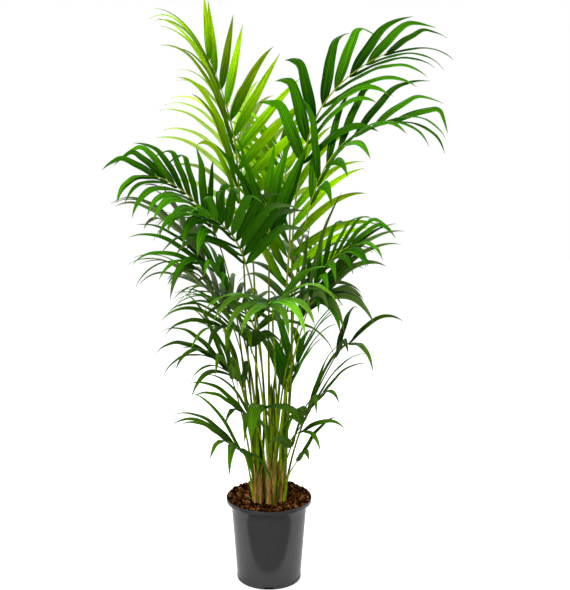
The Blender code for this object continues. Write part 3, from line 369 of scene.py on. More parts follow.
# Finishes
SHADE_LIGHT = {
    # light through it, roughness, shine, brightness of the painted shade at the root, pale bloom
    # below, blue through it
    "lime": (0.50, 0.40, 0.02, 0.38, 0.20, 0.3),
    "pale": (0.60, 0.50, 0.05, 0.90, 0.60, 1.4),
    "fresh": (0.45, 0.36, 0.18, 0.50, 0.15, 0.3),
    "green": (0.36, 0.38, 0.04, 0.32, 0.08, 0.3),
    "grey": (0.25, 0.50, 0.16, 0.45, 0.40, 0.6),
    "deep": (0.36, 0.45, 0.015, 0.24, 0.03, 0.3),
}
YOUNG_HEIGHTS = (0.7, 1.2)  # between these heights the stalks turn to their young colour
YOUNG_SHARE = 0.75
TIP_BLOOM = 0.65  # how pale a leaflet is below at its tip
NOISE_ROUGHNESS = 0.6
LEAFLET_RIBS = 6.0
MIDRIB_EDGE = (0.015, 0.06)  # across a leaflet, from the light midrib to the blade
MIDRIB_SHARE = 0.3
VEIN_SHARE = 0.22
STREAK_FORM = (16, 2.4, 1)  # streaks across and along a leaflet
STREAK_SHIFT = 37.0  # gives each leaflet its own streaks
STREAK_EDGES = (0.3, 0.7)
RIB_SHARE = 0.35  # how much of the shading comes from the ribs; the streaks give the rest
ROOT_SHADE_REACH = 0.7  # share of a leaflet over which the painted shade at its root fades
UPPER_STREAK_SHADE_AND_SHEEN = (0.25, 1.9)  # darkest and lightest form of a leaflet's upper colour along its ribs and streaks, partly their own tone and partly painted shade and painted sheen
# The same on the underside, partly the streaks' own tone and partly painted shade and painted sheen
LOWER_STREAK_SHADE_AND_SHEEN = (0.4, 1.3)
BLOOM_REACH = (0.5, 0.95)
LEAFLET_TONES = (0.8, 0.6)  # how much leaflets differ in brightness, and the darkest
OLD_LEAFLETS = (0.55, 0.6)  # leaflets with a tone above this have a dry tip
DRY_REACH = (0.962, 0.985)
STREAK_ROUGHNESS = 0.12
UNDER_ROUGHNESS = 0.25
STREAK_HEIGHT = 0.35
RIB_HEIGHT = 0.5
FIBRE_FORM = (420, 420, 16)  # fibres across and along a stalk, per metre
FIBRE_EDGES = (0.32, 0.68)
FIBRE_SHARE = 0.6
FIBRE_TONES = (1.0, 0.45)
PATCH_FORM = (60, 60, 14)
PATCH_EDGES = (0.4, 0.6)
GLOW = (2.0, 1.75)  # red and green of the light through a leaflet, against its colour
BLADE_BUMP = (0.35, 0.0006)  # strength and depth of a material's relief
BARK_BUMP = (0.9, 0.0012)
POT_BUMP = (0.16, 0.0003)
FIBRE_BUMP_DEPTH = 0.0005
BARK_GRAIN = (700, 4.0)  # fineness and detail of a material's pattern
BARK_PATCHES = (160, 3.0)
POT_GRAIN = (900, 2.0)
POT_SPECKS = (2200, 1.0)
COLOUR, NUMBER = "NodeSocketColor", "NodeSocketFloat"

Site = collections.namedtuple("Site", "pair hand jitter")
Jitter = collections.namedtuple("Jitter", "fan lift length bow fold")
Leaf = collections.namedtuple("Leaf", "points aims uppers hand width")
Change = collections.namedtuple("Change", "tilt lift fan bow size")
NO_CHANGE = Change(0, 0, 0, 0, 1)


# Shape rules shared with the solid model

def stretch():
    """This plant's height above the soil, up to its highest midrib tip, against the drawn one."""
    tip = PLANT_HEIGHT - TOP_LEAF_RISE * LEAFLET_LENGTH
    return (tip - SOIL_LEVEL) / (DRAWN_TIP - DRAWN_SOIL)


def scaled(point):
    """A point drawn in centimetres, at this plant's height and reach."""
    x, y, z = point
    rise = (z / 100 - DRAWN_SOIL) * stretch()
    return Vector((x / 100 * FROND_REACH, y / 100 * FROND_REACH, SOIL_LEVEL + rise))


def spin(angle):
    return Vector((math.cos(angle), math.sin(angle), 0))


def blend(t):
    """An easy start and stop between 0 and 1."""
    t = min(max(t, 0), 1)
    return t * t * (3 - 2 * t)


def taper_radius(z):
    """Outer radius of the pot's plain tapered wall."""
    top = POT_RIM_RADIUS - RIM_STEP
    share = z / (POT_HEIGHT - RIM_LIP - RIM_FLARE)
    return POT_BASE_RADIUS + (top - POT_BASE_RADIUS) * share


def pot_outer_radius(z):
    """Outer radius of the pot at any height, with its flare and upright lip."""
    lip = POT_HEIGHT - RIM_LIP
    if z >= lip:
        return POT_RIM_RADIUS
    flare = lip - RIM_FLARE
    if z <= flare:
        return taper_radius(z)
    share = (z - flare) / RIM_FLARE
    return taper_radius(flare) + (POT_RIM_RADIUS - taper_radius(flare)) * share ** FLARE_POWER


def pot_inner_radius(z):
    """Inner radius of the pot. Its step sits higher inside, by the wall's thickness."""
    return pot_outer_radius(z - POT_WALL) - POT_WALL


def soil_surface(x, y):
    """Height of the soil's lumpy top, dished towards the stems."""
    out = math.hypot(x, y) / POT_RIM_RADIUS
    dish = SOIL_DIP * (1 - blend(out * SOIL_DISH_RIM))
    first, second, third, fourth = SOIL_WAVES
    large, small = SOIL_WAVE_SHARES
    lumps = math.sin(first[0] * x + first[1]) * math.cos(second[0] * y + second[1])
    lumps += large * math.sin(third[0] * y + third[1] * x)
    lumps += small * math.cos(fourth[0] * x + fourth[1] * y)
    return POT_HEIGHT - SOIL_BELOW_RIM - dish + SOIL_LUMP * lumps / 2


def stem_foot(stem):
    """Where a stem stands. Thicker stems stand further apart."""
    return Vector((stem.x / 100, stem.y / 100, 0)) * STEM_GIRTH


def stem_height(stem):
    return stem.height / 100 * stretch()


def stem_radius(stem, height):
    """Radius of a stem at a height above the soil: wrapped leaf bases that thin out upwards."""
    share = min(max(height / stem_height(stem), 0), 1)
    thin = STEM_NARROWING * share ** STEM_NARROWING_POWER
    return stem.radius / 100 * STEM_GIRTH * (1 - thin)


def stem_axis(stem, height):
    """Middle of a stem at a height above the soil. It is upright in the soil and leans above it."""
    lean = Vector((stem.lean_x, stem.lean_y, 0)) * (max(height, 0) / 100)
    return stem_foot(stem) + lean + UP * (SOIL_LEVEL + height)


def stem_direction(stem):
    return Vector((stem.lean_x, stem.lean_y, 100)).normalized()


def hermite(a, b, leave, arrive, t):
    """A point between a and b on the curve that leaves and arrives along the two directions."""
    size = (b - a).length
    t2, t3 = t * t, t * t * t
    point = a * (2 * t3 - 3 * t2 + 1) + b * (3 * t2 - 2 * t3)
    return point + leave * size * (t3 - 2 * t2 + t) + arrive * size * (t3 - t2)


def facing_between(frond, turn):
    """Compass directions of a frond at its foot and over its blade."""
    neck, tip = scaled(frond.neck), scaled(frond.tip)
    foot = stem_axis(STEMS[frond.stem], 0)
    at_foot = math.atan2(neck.y - foot.y, neck.x - foot.x) + turn
    at_blade = math.atan2(tip.y - neck.y, tip.x - neck.x)
    swing = (at_blade - at_foot + math.pi) % math.tau - math.pi
    return at_foot, swing


def stalk_curve(frond, turn, shift, climb):
    """Closely spaced points of a frond's stalk and midrib, from its foot to its tip."""
    stem = STEMS[frond.stem]
    neck, arch, tip = (scaled(p) + shift for p in (frond.neck, frond.arch, frond.tip))
    rise = frond.foot / 100 * stretch() + climb
    at_foot, _ = facing_between(frond, turn)
    out = spin(at_foot)
    depth = STALK_HALF_WIDTHS[0] * STALK_THICKNESS * STALK_DEPTH_SHARE
    gap = stem_radius(stem, rise) + CLEARANCE + depth
    foot = stem_axis(stem, rise) + out * gap
    leave = (stem_direction(stem) + out * STALK_LEAN).normalized()
    first, last = (arch - neck).normalized(), (tip - arch).normalized()
    past_neck = ((neck - foot).normalized() + first).normalized()
    past_arch = (first + last).normalized()
    past_tip = (last * 2 - past_arch).normalized()
    points = [hermite(foot, neck, leave, past_neck, k / STALK_STEPS) for k in range(STALK_STEPS)]
    for a, b, start, end in ((neck, arch, past_neck, past_arch), (arch, tip, past_arch, past_tip)):
        points += [hermite(a, b, start, end, k / BLADE_STEPS) for k in range(BLADE_STEPS)]
    return points + [tip]


class Route:
    """A frond's stalk and midrib, measured along its length, with its blade's own directions."""

    def __init__(self, frond, turn, shift, climb):
        self.frond = frond
        self.leaves = {}
        self.points = stalk_curve(frond, turn, shift, climb)
        self.at = [0.0]
        for a, b in zip(self.points, self.points[1:]):
            self.at.append(self.at[-1] + (b - a).length)
        self.neck, self.end = self.at[STALK_STEPS], self.at[-1]
        self.foot_facing, self.swing = facing_between(frond, turn)
        self.roots = self.leaf_roots()
        self.sites = self.leaf_sites()
        self.buds = [bud_blocker(leaf_on(self, site, NO_CHANGE), root_corners(self, site))
                     for site in self.sites]

    def place(self, along):
        """Point, direction, side and upper directions, a distance along the route."""
        along = min(max(along, 0), self.end)
        k = 1
        while k < len(self.at) - 1 and self.at[k] < along:
            k += 1
        a, b = self.points[k - 1], self.points[k]
        share = (along - self.at[k - 1]) / (self.at[k] - self.at[k - 1])
        before = self.points[max(k - 2, 0)]
        after = self.points[min(k + 1, len(self.points) - 1)]
        ahead = ((b - before).normalized() * (1 - share) + (after - a).normalized() * share)
        ahead.normalize()
        turned_by = blend(along / self.neck)
        facing = spin(self.foot_facing + self.swing * turned_by)
        side = facing.cross(UP)
        side = (side - ahead * side.dot(ahead)).normalized()
        side = Quaternion(ahead, math.radians(self.frond.roll) * turned_by) @ side
        return a.lerp(b, share), ahead, side, side.cross(ahead)

    def half_width(self, along):
        foot, neck, tip = (width * STALK_THICKNESS for width in STALK_HALF_WIDTHS)
        if along < self.neck:
            return neck + (foot - neck) * (1 - along / self.neck) ** STALK_THINNING
        return neck + (tip - neck) * (along - self.neck) / (self.end - self.neck)

    def leaf_roots(self):
        """The stretches of midrib that the pairs of leaflets grow from."""
        frond = self.frond
        length = self.end - self.neck
        root = frond.width / 100 * LEAF_ROOT_SHARE
        if frond.pairs == 1:
            return [(self.end - root, self.end)]
        root = min(root, LEAF_ROOT_LIMIT * length / frond.pairs)
        starts = [self.neck + (length - root) * k / (frond.pairs - 1) for k in range(frond.pairs)]
        return [(start, start + root) for start in starts]

    def leaf_sites(self):
        """Every leaflet of the frond, with its own small differences."""
        draw = random.Random(JITTER_SEED * 100 + FRONDS.index(self.frond))
        sites = []
        for pair in range(self.frond.pairs):
            for hand in (-1, 1):
                jitter = Jitter(*(draw.uniform(*limits) for limits in JITTERS))
                sites.append(Site(pair, hand, jitter))
        return sites

    def rings(self):
        """Distances along the route at which the stalk's mesh has a ring of points."""
        first = self.roots[0][0]
        stalk = [first * k / STALK_PIECES for k in range(STALK_PIECES)]
        return stalk + [end for root in self.roots for end in root]


def stalk_ring(route, along, extra=0.0):
    """Four corners of a stalk, clockwise from the lower left as one looks along it."""
    point, _, side, upper = route.place(along)
    wide = route.half_width(along)
    across, through = side * (wide + extra), upper * (wide * STALK_DEPTH_SHARE + extra)
    return [point - across - through, point + across - through,
            point + across + through, point - across + through]


def tube(points, sides=4):
    """Corner points ring by ring and the quads between them, capped at both ends."""
    faces = [list(range(sides)), list(range(len(points) - 1, len(points) - sides - 1, -1))]
    for start in range(0, len(points) - sides, sides):
        for k in range(sides):
            after = (k + 1) % sides
            faces.append([start + k, start + sides + k, start + sides + after, start + after])
    return faces


def stalk_tree(route, extra):
    points = [corner for along in route.rings() for corner in stalk_ring(route, along, extra)]
    return Blocker(points, tube(points))


class Blocker:
    """A shape that others must keep clear of, with its bounding box."""

    def __init__(self, points, faces):
        self.low = Vector(min(p[k] for p in points) for k in range(3))
        self.high = Vector(max(p[k] for p in points) for k in range(3))
        self.tree = BVHTree.FromPolygons(points, faces)

    def meets(self, other):
        for k in range(3):
            if self.low[k] > other.high[k] or other.low[k] > self.high[k]:
                return False
        return bool(self.tree.overlap(other.tree))


def object_blocker(made):
    points = [vertex.co.copy() for vertex in made.data.vertices]
    return Blocker(points, [list(face.vertices) for face in made.data.polygons])


def stalk_changes(reaches, rises):
    """Turns round the stem and shifts of the blade up to the given sizes, smallest first."""
    turn_step, shift_step, rise_step = STALK_CHANGE_STEPS
    changes = []
    for turn, reach, (x, y), rise in itertools.product(STALK_TURNS, reaches, STALK_SHIFTS, rises):
        cost = abs(turn) / turn_step + (abs(x) + abs(y)) * reach / shift_step
        cost += abs(rise) / rise_step
        changes.append((cost, turn, x * reach, y * reach, rise))
    return sorted(changes)


def lay_stalks(fixed):
    """A route for every frond that keeps its stalk clear of the stems and of earlier stalks."""
    routes, blockers = [], []
    tries = stalk_changes(*SMALL_CHANGES) + stalk_changes(*LARGE_CHANGES)
    for frond in FRONDS:
        buds = [bud for route in routes for bud in route.buds]
        for _, turn, x, y, climb in tries:
            route = Route(frond, math.radians(turn), Vector((x, y, 0)), climb)
            if meets_any([stalk_tree(route, CLEARANCE / 2)], fixed):
                continue
            if meets_any([stalk_tree(route, STALK_CLEARANCE)], blockers + buds):
                continue
            if not meets_any(route.buds, fixed + blockers + buds):
                break
        else:
            raise RuntimeError(f"no clear way for the stalk of {frond.name}")
        routes.append(route)
        blockers.append(stalk_tree(route, 0))
    return routes, blockers


def meets_any(shapes, others):
    return any(shape.meets(other) for shape in shapes for other in others)


def leaf_path(root, aim, upper, length, bow, fold):
    """A leaflet's middle line, its direction and its upper face, as its weight bows it down."""
    points, aims, uppers = [root], [aim], [upper]
    for step in range(BEND_STEPS):
        share = (step + 0.5) / BEND_STEPS
        level = math.hypot(aim.x, aim.y)
        turn = bow * (BOW_POWER + 1) * share ** BOW_POWER * level / BEND_STEPS
        if HOOK_STEPS[0] <= step < HOOK_STEPS[1]:
            turn += fold / (HOOK_STEPS[1] - HOOK_STEPS[0])
        axis = aim.cross(DOWN)
        if axis.length > UPRIGHT:
            bend = Quaternion(axis, turn)
            aim, upper = bend @ aim, bend @ upper
        root = root + aim * (length / BEND_STEPS)
        points.append(root)
        aims.append(aim)
        uppers.append(upper)
    return points, aims, uppers


def leaf_width(share, width):
    """Width of a leaflet along its length: narrow root, full middle, long point."""
    return width * min(1, LEAF_FOOT_WIDTH + LEAF_SWELL * share) * (1 - share ** LEAF_POINT)


def leaf_on(route, site, change):
    """One leaflet of a pair, hand -1 for left and 1 for right."""
    frond, pair, hand, jitter = route.frond, site.pair, site.hand, site.jitter
    start, end = route.roots[pair]
    point, ahead, side, upper = route.place((start + end) / 2)
    place = pair / max(frond.pairs - 1, 1)
    which = (hand + 1) // 2
    fan = frond.fan[which] + (frond.fan[2] - frond.fan[which]) * place + change.fan + jitter.fan
    lift = frond.lift[which] + change.lift + jitter.lift
    out = side * hand
    raised = out * math.cos(math.radians(lift)) + upper * math.sin(math.radians(lift))
    aim = ahead * math.cos(math.radians(fan)) + raised * math.sin(math.radians(fan))
    aim.normalize()
    face = (upper - aim * upper.dot(aim)).normalized()
    tilt = math.radians(LEAF_TILT + change.tilt)
    face = Quaternion(aim, -hand * tilt) @ face
    grow = 1 - FIRST_PAIR_SHORTER * (1 - place) ** 2 - LAST_PAIR_SHORTER * place ** 2
    full = 1 - LAST_PAIR_NARROWER * place ** 2
    if frond.pairs == 1:
        grow, full = 1, LONE_PAIR_WIDER
    length = frond.length / 100 * LEAFLET_LENGTH * grow * change.size * (1 + jitter.length)
    width = frond.width / 100 * full
    bow = math.radians(frond.bow[which] + change.bow + jitter.bow)
    root = point + out * route.half_width(start)
    fold = math.radians(frond.fold[which]) * jitter.fold
    return Leaf(*leaf_path(root, aim, face, length, bow, fold), hand, width)


def leaf_ring(leaf, step, extra):
    """Four corners across a leaflet: foot side low, tip side low, tip side high, foot side high."""
    middle, aim, upper = leaf.points[step], leaf.aims[step], leaf.uppers[step]
    half = leaf_width(step / BEND_STEPS, leaf.width) / 2 + extra
    across = aim.cross(upper) * -leaf.hand * half
    thin = upper * (LEAF_THICKNESS / 2 + extra)
    return [middle - across - thin, middle + across - thin,
            middle + across + thin, middle - across + thin]


def leaf_sections(leaf, extra=0.0):
    """Rings of four corners along a leaflet, then its tip."""
    length = (leaf.points[1] - leaf.points[0]).length * BEND_STEPS
    steps = LONG_SECTIONS if length > LONG_LEAF else SHORT_SECTIONS
    rings = [leaf_ring(leaf, step, extra) for step in steps]
    return rings, leaf.points[-1] + leaf.aims[-1] * extra


def cone_faces(count):
    """Faces of a leaflet from its first ring out to its tip, with its first ring capped."""
    faces = [[0, 1, 2, 3]]
    for start in range(0, 4 * (count - 1), 4):
        for k in range(4):
            after = (k + 1) % 4
            faces.append([start + k, start + after, start + 4 + after, start + 4 + k])
    last = 4 * (count - 1)
    tip = 4 * count
    faces += [[last + k, last + (k + 1) % 4, tip] for k in range(4)]
    return faces


def leaf_blocker(leaf, extra, root_ring=None):
    rings, tip = leaf_sections(leaf, extra)
    if root_ring:
        rings = [root_ring] + rings
    points = [corner for ring in rings for corner in ring] + [tip]
    return Blocker(points, cone_faces(len(rings)))


def leaf_tries():
    """Small changes to a leaflet's pose to try, least visible first."""
    tries = []
    for change in itertools.starmap(Change, itertools.product(TILTS, LIFTS, FANS, BOWS, SIZES)):
        cost = sum(abs(value) / step for value, step in zip(change, CHANGE_STEPS))
        cost += (1 - change.size) * SHRINK_COST
        tries.append((cost, change))
    return [change for _, change in sorted(tries)]


def root_corners(route, site):
    """Corners of the stretch of midrib side that a leaflet grows from."""
    start, end = route.roots[site.pair]
    low, high = stalk_ring(route, start), stalk_ring(route, end)
    if site.hand > 0:
        return [low[1], high[1], high[2], low[2]]
    return [low[0], high[0], high[3], low[3]]


def bud_blocker(leaf, root):
    """The first stretch of a leaflet, which everything else leaves room for."""
    points = root + leaf_ring(leaf, BUD_STEP, LEAF_CLEARANCE) + [leaf.points[BUD_STEP + 1]]
    return Blocker(points, cone_faces(2))


def grow_leaves(routes, blockers, fixed):
    """Every frond's leaflets, each bent a little where it would touch another piece."""
    tries = leaf_tries()
    work = [(route, site, bud) for route in routes for site, bud in zip(route.sites, route.buds)]
    placed = []
    for number, (route, site, _) in enumerate(work):
        own = blockers[routes.index(route)]
        root = root_corners(route, site)
        others = fixed + [other for other in blockers if other is not own]
        others += placed + [bud for _, _, bud in work[number + 1:]]
        for change in tries:
            leaf = leaf_on(route, site, change)
            if min(point.z for point in leaf.points) < POT_HEIGHT + ROOM_OVER_POT:
                continue
            whole = leaf_blocker(leaf, LEAF_CLEARANCE, root)
            if meets_any([whole], others):
                continue
            if not leaf_blocker(leaf, LEAF_CLEARANCE).meets(own):
                break
        else:
            raise RuntimeError(f"no clear pose for a leaflet of {route.frond.name}")
        placed.append(leaf_blocker(leaf, 0, root))
        route.leaves[site.pair, site.hand] = leaf


# Shapes that are modelled once and copied

Blank = collections.namedtuple("Blank", "points faces")


def start_piece():
    """Object mode with nothing selected, so that an operator acts on the new piece alone."""
    if bpy.context.mode != "OBJECT":
        bpy.ops.object.mode_set(mode="OBJECT")
    bpy.ops.object.select_all(action="DESELECT")


def end_piece():
    """Faces outward and back in object mode; gives the piece that was being modelled."""
    bpy.ops.mesh.select_all(action="SELECT")
    bpy.ops.mesh.normals_make_consistent(inside=False)
    bpy.ops.object.mode_set(mode="OBJECT")
    return bpy.context.object


def blank_of(made):
    """The modelled shape as arrays of points and faces. The object itself isn't kept."""
    points = np.array([vertex.co for vertex in made.data.vertices])
    faces = [tuple(face.vertices) for face in made.data.polygons]
    bpy.data.objects.remove(made)
    return Blank(points, faces)


def strip_blank(columns, rows):
    """A thin strip: X -1..1 across, Y 0..1 along, Z 0 on its lower and 1 on its upper face."""
    start_piece()
    bpy.ops.mesh.primitive_grid_add(x_subdivisions=columns, y_subdivisions=rows, size=2)
    bpy.ops.object.mode_set(mode="EDIT")
    bpy.ops.mesh.extrude_region_move(TRANSFORM_OT_translate={"value": (0, 0, 1)})
    blank = blank_of(end_piece())
    blank.points[:, 1] = (blank.points[:, 1] + 1) / 2
    return blank


def tube_blank(sides, rings):
    """A tube of unit radius round Z, with a ring of points at Z = 0, 1, 2 and so on."""
    start_piece()
    bpy.ops.mesh.primitive_circle_add(vertices=sides, radius=1, fill_type="NGON")
    bpy.ops.object.mode_set(mode="EDIT")
    for _ in range(rings):
        bpy.ops.mesh.extrude_region_move(TRANSFORM_OT_translate={"value": (0, 0, 1)})
    return blank_of(end_piece())


def chip_blank(flatness, seed):
    """A bark chip: an uneven lump of twenty faces."""
    start_piece()
    bpy.ops.mesh.primitive_ico_sphere_add(subdivisions=1, radius=1)
    bpy.ops.object.mode_set(mode="EDIT")
    bpy.ops.transform.resize(value=(1, CHIP_NARROWNESS, flatness))
    bpy.ops.transform.vertex_random(offset=CHIP_UNEVENNESS, uniform=1, seed=seed)
    return blank_of(end_piece())


def strip_grain(blank):
    """Grain that runs from the root of a strip to its tip."""
    return np.stack([(blank.points[:, 0] + 1) / 2, blank.points[:, 1]], axis=1)


def tube_grain(blank, rows):
    """Grain that runs round a tube and along it."""
    around = np.arctan2(blank.points[:, 1], blank.points[:, 0]) / math.tau + 0.5
    return np.stack([around, blank.points[:, 2] / rows], axis=1)


def by_row(rows, *lists):
    """For each point of a blank, what the lists say at its row, as arrays."""
    rows = np.rint(rows).astype(int)
    return [np.array(values)[rows] for values in lists]


class Shell:
    """Gathers the shapes of one piece, with what its materials need to know about each face."""

    def __init__(self):
        self.points = []
        self.faces = []
        self.uvs = []
        self.slots = []
        self.tones = []
        self.unders = []
        self.count = 0

    def add(self, points, faces, uvs, slot, tone, unders=None):
        self.points.append(points)
        self.faces += [tuple(corner + self.count for corner in face) for face in faces]
        self.uvs.append(uvs)
        self.slots += [slot] * len(faces)
        self.tones += [tone] * len(faces)
        self.unders += [0.0] * len(faces) if unders is None else unders
        self.count += len(points)

    def made(self, name, materials, sharp=SHARP_ANGLE):
        """The gathered shapes as one object."""
        data = bpy.data.meshes.new(name)
        data.from_pydata(np.concatenate(self.points).tolist(), [], self.faces)
        uvs = np.concatenate(self.uvs)
        corners = np.zeros(len(data.loops), dtype=int)
        data.loops.foreach_get("vertex_index", corners)
        data.uv_layers.new(name="Grain").uv.foreach_set("vector", uvs[corners].ravel())
        data.attributes.new("tone", "FLOAT", "FACE").data.foreach_set("value", self.tones)
        data.attributes.new("under", "FLOAT", "FACE").data.foreach_set("value", self.unders)
        data.polygons.foreach_set("material_index", self.slots)
        for material in materials:
            data.materials.append(material)
        data.shade_smooth()
        data.set_sharp_from_angle(angle=math.radians(sharp))
        piece = bpy.data.objects.new(name, data)
        bpy.context.scene.collection.objects.link(piece)
        return piece


def settle(piece, slot, *nodes):
    """Ties a piece to the plant's body and hides what it stands for; the slot it is given is not
    used.
    """
    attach(piece, "root")
    if nodes:
        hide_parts(*nodes)


# Leaflets in fine detail

def easy(values, low, high):
    """An easy rise from 0 to 1 between two values, for a whole array."""
    t = np.clip((values - low) / (high - low), 0, 1)
    return t * t * (3 - 2 * t)


def blade_half_width(along, width):
    """Half the width of a leaflet along its length: pinched root, full middle, long point."""
    swell = BLADE_ROOT + (1 - BLADE_ROOT) * (1 - np.exp(-along / BLADE_SWELL))
    half = width / 2 * swell * (1 - along ** LEAF_POINT)
    return np.maximum(half, BLADE_TIP_WIDTH / 2)


def rounded_leaf(leaf):
    """The same leaflet with one more point of its middle line between each two."""
    points, aims, uppers = leaf.points[:1], leaf.aims[:1], leaf.uppers[:1]
    for k in range(len(leaf.points) - 1):
        start, end = leaf.points[k:k + 2]
        bulge = (leaf.aims[k] - leaf.aims[k + 1]) * (end - start).length / 8
        points += [(start + end) / 2 + bulge, end]
        aims += [(leaf.aims[k] + leaf.aims[k + 1]).normalized(), leaf.aims[k + 1]]
        uppers += [(leaf.uppers[k] + leaf.uppers[k + 1]).normalized(), leaf.uppers[k + 1]]
    return leaf._replace(points=points, aims=aims, uppers=uppers)


def leaflet_points(blank, leaf, draw, looks):
    """The strip bent along a leaflet's middle line, folded along its midrib and lightly pleated."""
    across, along, above = blank.points.T
    middle, aim, upper = by_row(along * (len(leaf.points) - 1), leaf.points, leaf.aims, leaf.uppers)
    middle = middle - aim * (BLADE_SINK * (along == 0))[:, None]
    side = np.cross(aim, upper)
    twist = (draw.uniform(-looks.twist, looks.twist) * along ** TWIST_POWER)[:, None]
    side, upper = (side * np.cos(twist) + upper * np.sin(twist),
                   upper * np.cos(twist) - side * np.sin(twist))
    half = blade_half_width(along, leaf.width)
    keel = math.radians(KEEL_AT_ROOT) * np.exp(-along / KEEL_FADE) + looks.keel
    rise = -np.abs(across) * half * np.sin(keel)
    waves = draw.uniform(*EDGE_WAVES) * along + draw.random()
    rise += looks.wave * across ** 2 * np.sin(math.tau * waves) * 4 * along * (1 - along)
    rise += looks.pleat * np.cos(math.pi * across * PLEATS) * half / leaf.width
    rise += looks.thickness * (above - 0.5) * (1 - EDGE_THINNING * across ** 2)
    return middle + side * (across * half * np.cos(keel))[:, None] + upper * rise[:, None]


def strip_unders(blank):
    """1 for each face on the strip's lower side, 0 for the others."""
    heights = blank.points[:, 2]
    return [1.0 if max(heights[list(face)]) < 0.5 else 0.0 for face in blank.faces]


# Stalks in fine detail

def sheath_rings(route):
    """Middle, side, upper direction, half width and half depth along a stalk's base."""
    stem = STEMS[route.frond.stem]
    out = spin(route.foot_facing)
    rise = route.points[0].z - SOIL_LEVEL
    low = max(rise - BASE_LENGTH, -BASE_BURIED)
    half = STALK_HALF_WIDTHS[0] * STALK_THICKNESS
    depth = half * STALK_DEPTH_SHARE
    lean = stem_direction(stem)
    side = out.cross(UP)
    rings = []
    for k in range(BASE_RINGS):
        share = k / BASE_RINGS
        height = low + (rise - low) * share
        stand = stem_radius(stem, height) + depth * ((1 + BASE_SUNK) * blend(share) - BASE_SUNK)
        middle = stem_axis(stem, height) + out * stand
        upper = (out * -1 - lean * (out * -1).dot(lean)).normalized()
        wide = half * (1 + BASE_WIDENING * (1 - blend(share)))
        rings.append((middle, side, upper, wide, depth * (1 + BASE_DEEPENING * (1 - share))))
    return rings


def stalk_rings(route):
    """The same all along the stalk and midrib."""
    rings = []
    for k in range(STALK_RINGS + 1):
        share = k / STALK_RINGS
        if share < STALK_RING_SHARE:
            along = route.neck * share / STALK_RING_SHARE
        else:
            past = (share - STALK_RING_SHARE) / (1 - STALK_RING_SHARE)
            along = route.neck + (route.end - route.neck) * past
        point, _, side, upper = route.place(along)
        wide = route.half_width(along)
        if share > STALK_RING_SHARE:
            wide *= 1 + (RACHIS_SWELL - 1) * min(1, (share - STALK_RING_SHARE) * RACHIS_SWELL_RATE)
        rings.append((point, side, upper, wide, wide * STALK_DEPTH_SHARE * STALK_FULLNESS))
    return rings


def stalk_points(blank, rings):
    """The tube bent along the rings, with a shallow groove along its upper face."""
    middle, side, upper, wide, deep = by_row(blank.points[:, 2], *zip(*rings))
    x, y = blank.points[:, 0], blank.points[:, 1]
    groove = STALK_GROOVE * np.exp(-(x / GROOVE_WIDTH) ** 2) * (y > GROOVE_START)
    return middle - side * (x * wide)[:, None] + upper * ((y - groove) * deep)[:, None]


def make_frond(route, blanks, unders, looks):
    """One frond: its stalk from the base round the stem to the tip, and its leaflets."""
    frond = route.frond
    draw = random.Random(JITTER_SEED * 1000 + FRONDS.index(frond))
    shell = Shell()
    strip, tube = blanks
    rings = sheath_rings(route) + stalk_rings(route)
    grain = tube_grain(tube, len(rings))
    shell.add(stalk_points(tube, rings), tube.faces, grain, 1, draw.random())
    grain = strip_grain(strip)
    for leaf in route.leaves.values():
        points = leaflet_points(strip, rounded_leaf(leaf), draw, looks)
        shell.add(points, strip.faces, grain, 0, draw.random(), unders)
    materials = [blade_material(frond.shade, looks), stalk_material(looks)]
    piece = shell.made(frond.name + "_fine", materials)
    settle(piece, "leaf_" + frond.shade, frond.name)


# Stems and dry sheaths in fine detail

def stem_points(blank, stem, rings):
    """The tube as a stem: grown-together leaf bases that spiral up and close to a point."""
    row = blank.points[:, 2] / rings
    angle = np.arctan2(blank.points[:, 1], blank.points[:, 0])
    tall = stem_height(stem)
    points = []
    for share, turn in zip(row, angle):
        height = (tall + STEM_SPEAR + STEM_FOOT) * share - STEM_FOOT
        radius = stem_radius(stem, min(height, tall))
        radius *= 1 + STEM_LOBE * math.cos(STEM_LOBES * turn + STEM_TWIST * share + stem.x)
        radius *= 1 - SPEAR_CLOSING * max(height - tall, 0) / STEM_SPEAR
        points.append(stem_axis(stem, height) + spin(turn) * radius)
    return np.array(points)


def make_stem_piece(stem, blank, looks):
    shell = Shell()
    points = stem_points(blank, stem, STEM_RINGS)
    shell.add(points, blank.faces, tube_grain(blank, STEM_RINGS), 0, 0.5)
    piece = shell.made(stem.name + "_fine", [stem_material(looks)])
    settle(piece, "stem_green", stem.name)


def round_stem(stem, angle, height, stand):
    """A point on a stem's surface and the direction away from the stem."""
    out = spin(angle)
    return stem_axis(stem, height) + out * (stem_radius(stem, height) + stand), out


def fibre_points(blank, path, radius):
    """The small tube bent along a path of points, thin at both ends."""
    row = np.rint(blank.points[:, 2]).astype(int)
    points = []
    for (x, y, _), k in zip(blank.points, row):
        ahead = (path[min(k + 1, len(path) - 1)] - path[max(k - 1, 0)]).normalized()
        side = ahead.orthogonal().normalized()
        fullness = math.sin(math.pi * (k + 0.5) / len(path))
        size = radius * (FIBRE_END + (1 - FIBRE_END) * fullness)
        points.append(path[k] + (side * x + ahead.cross(side) * y) * size)
    return np.array(points)


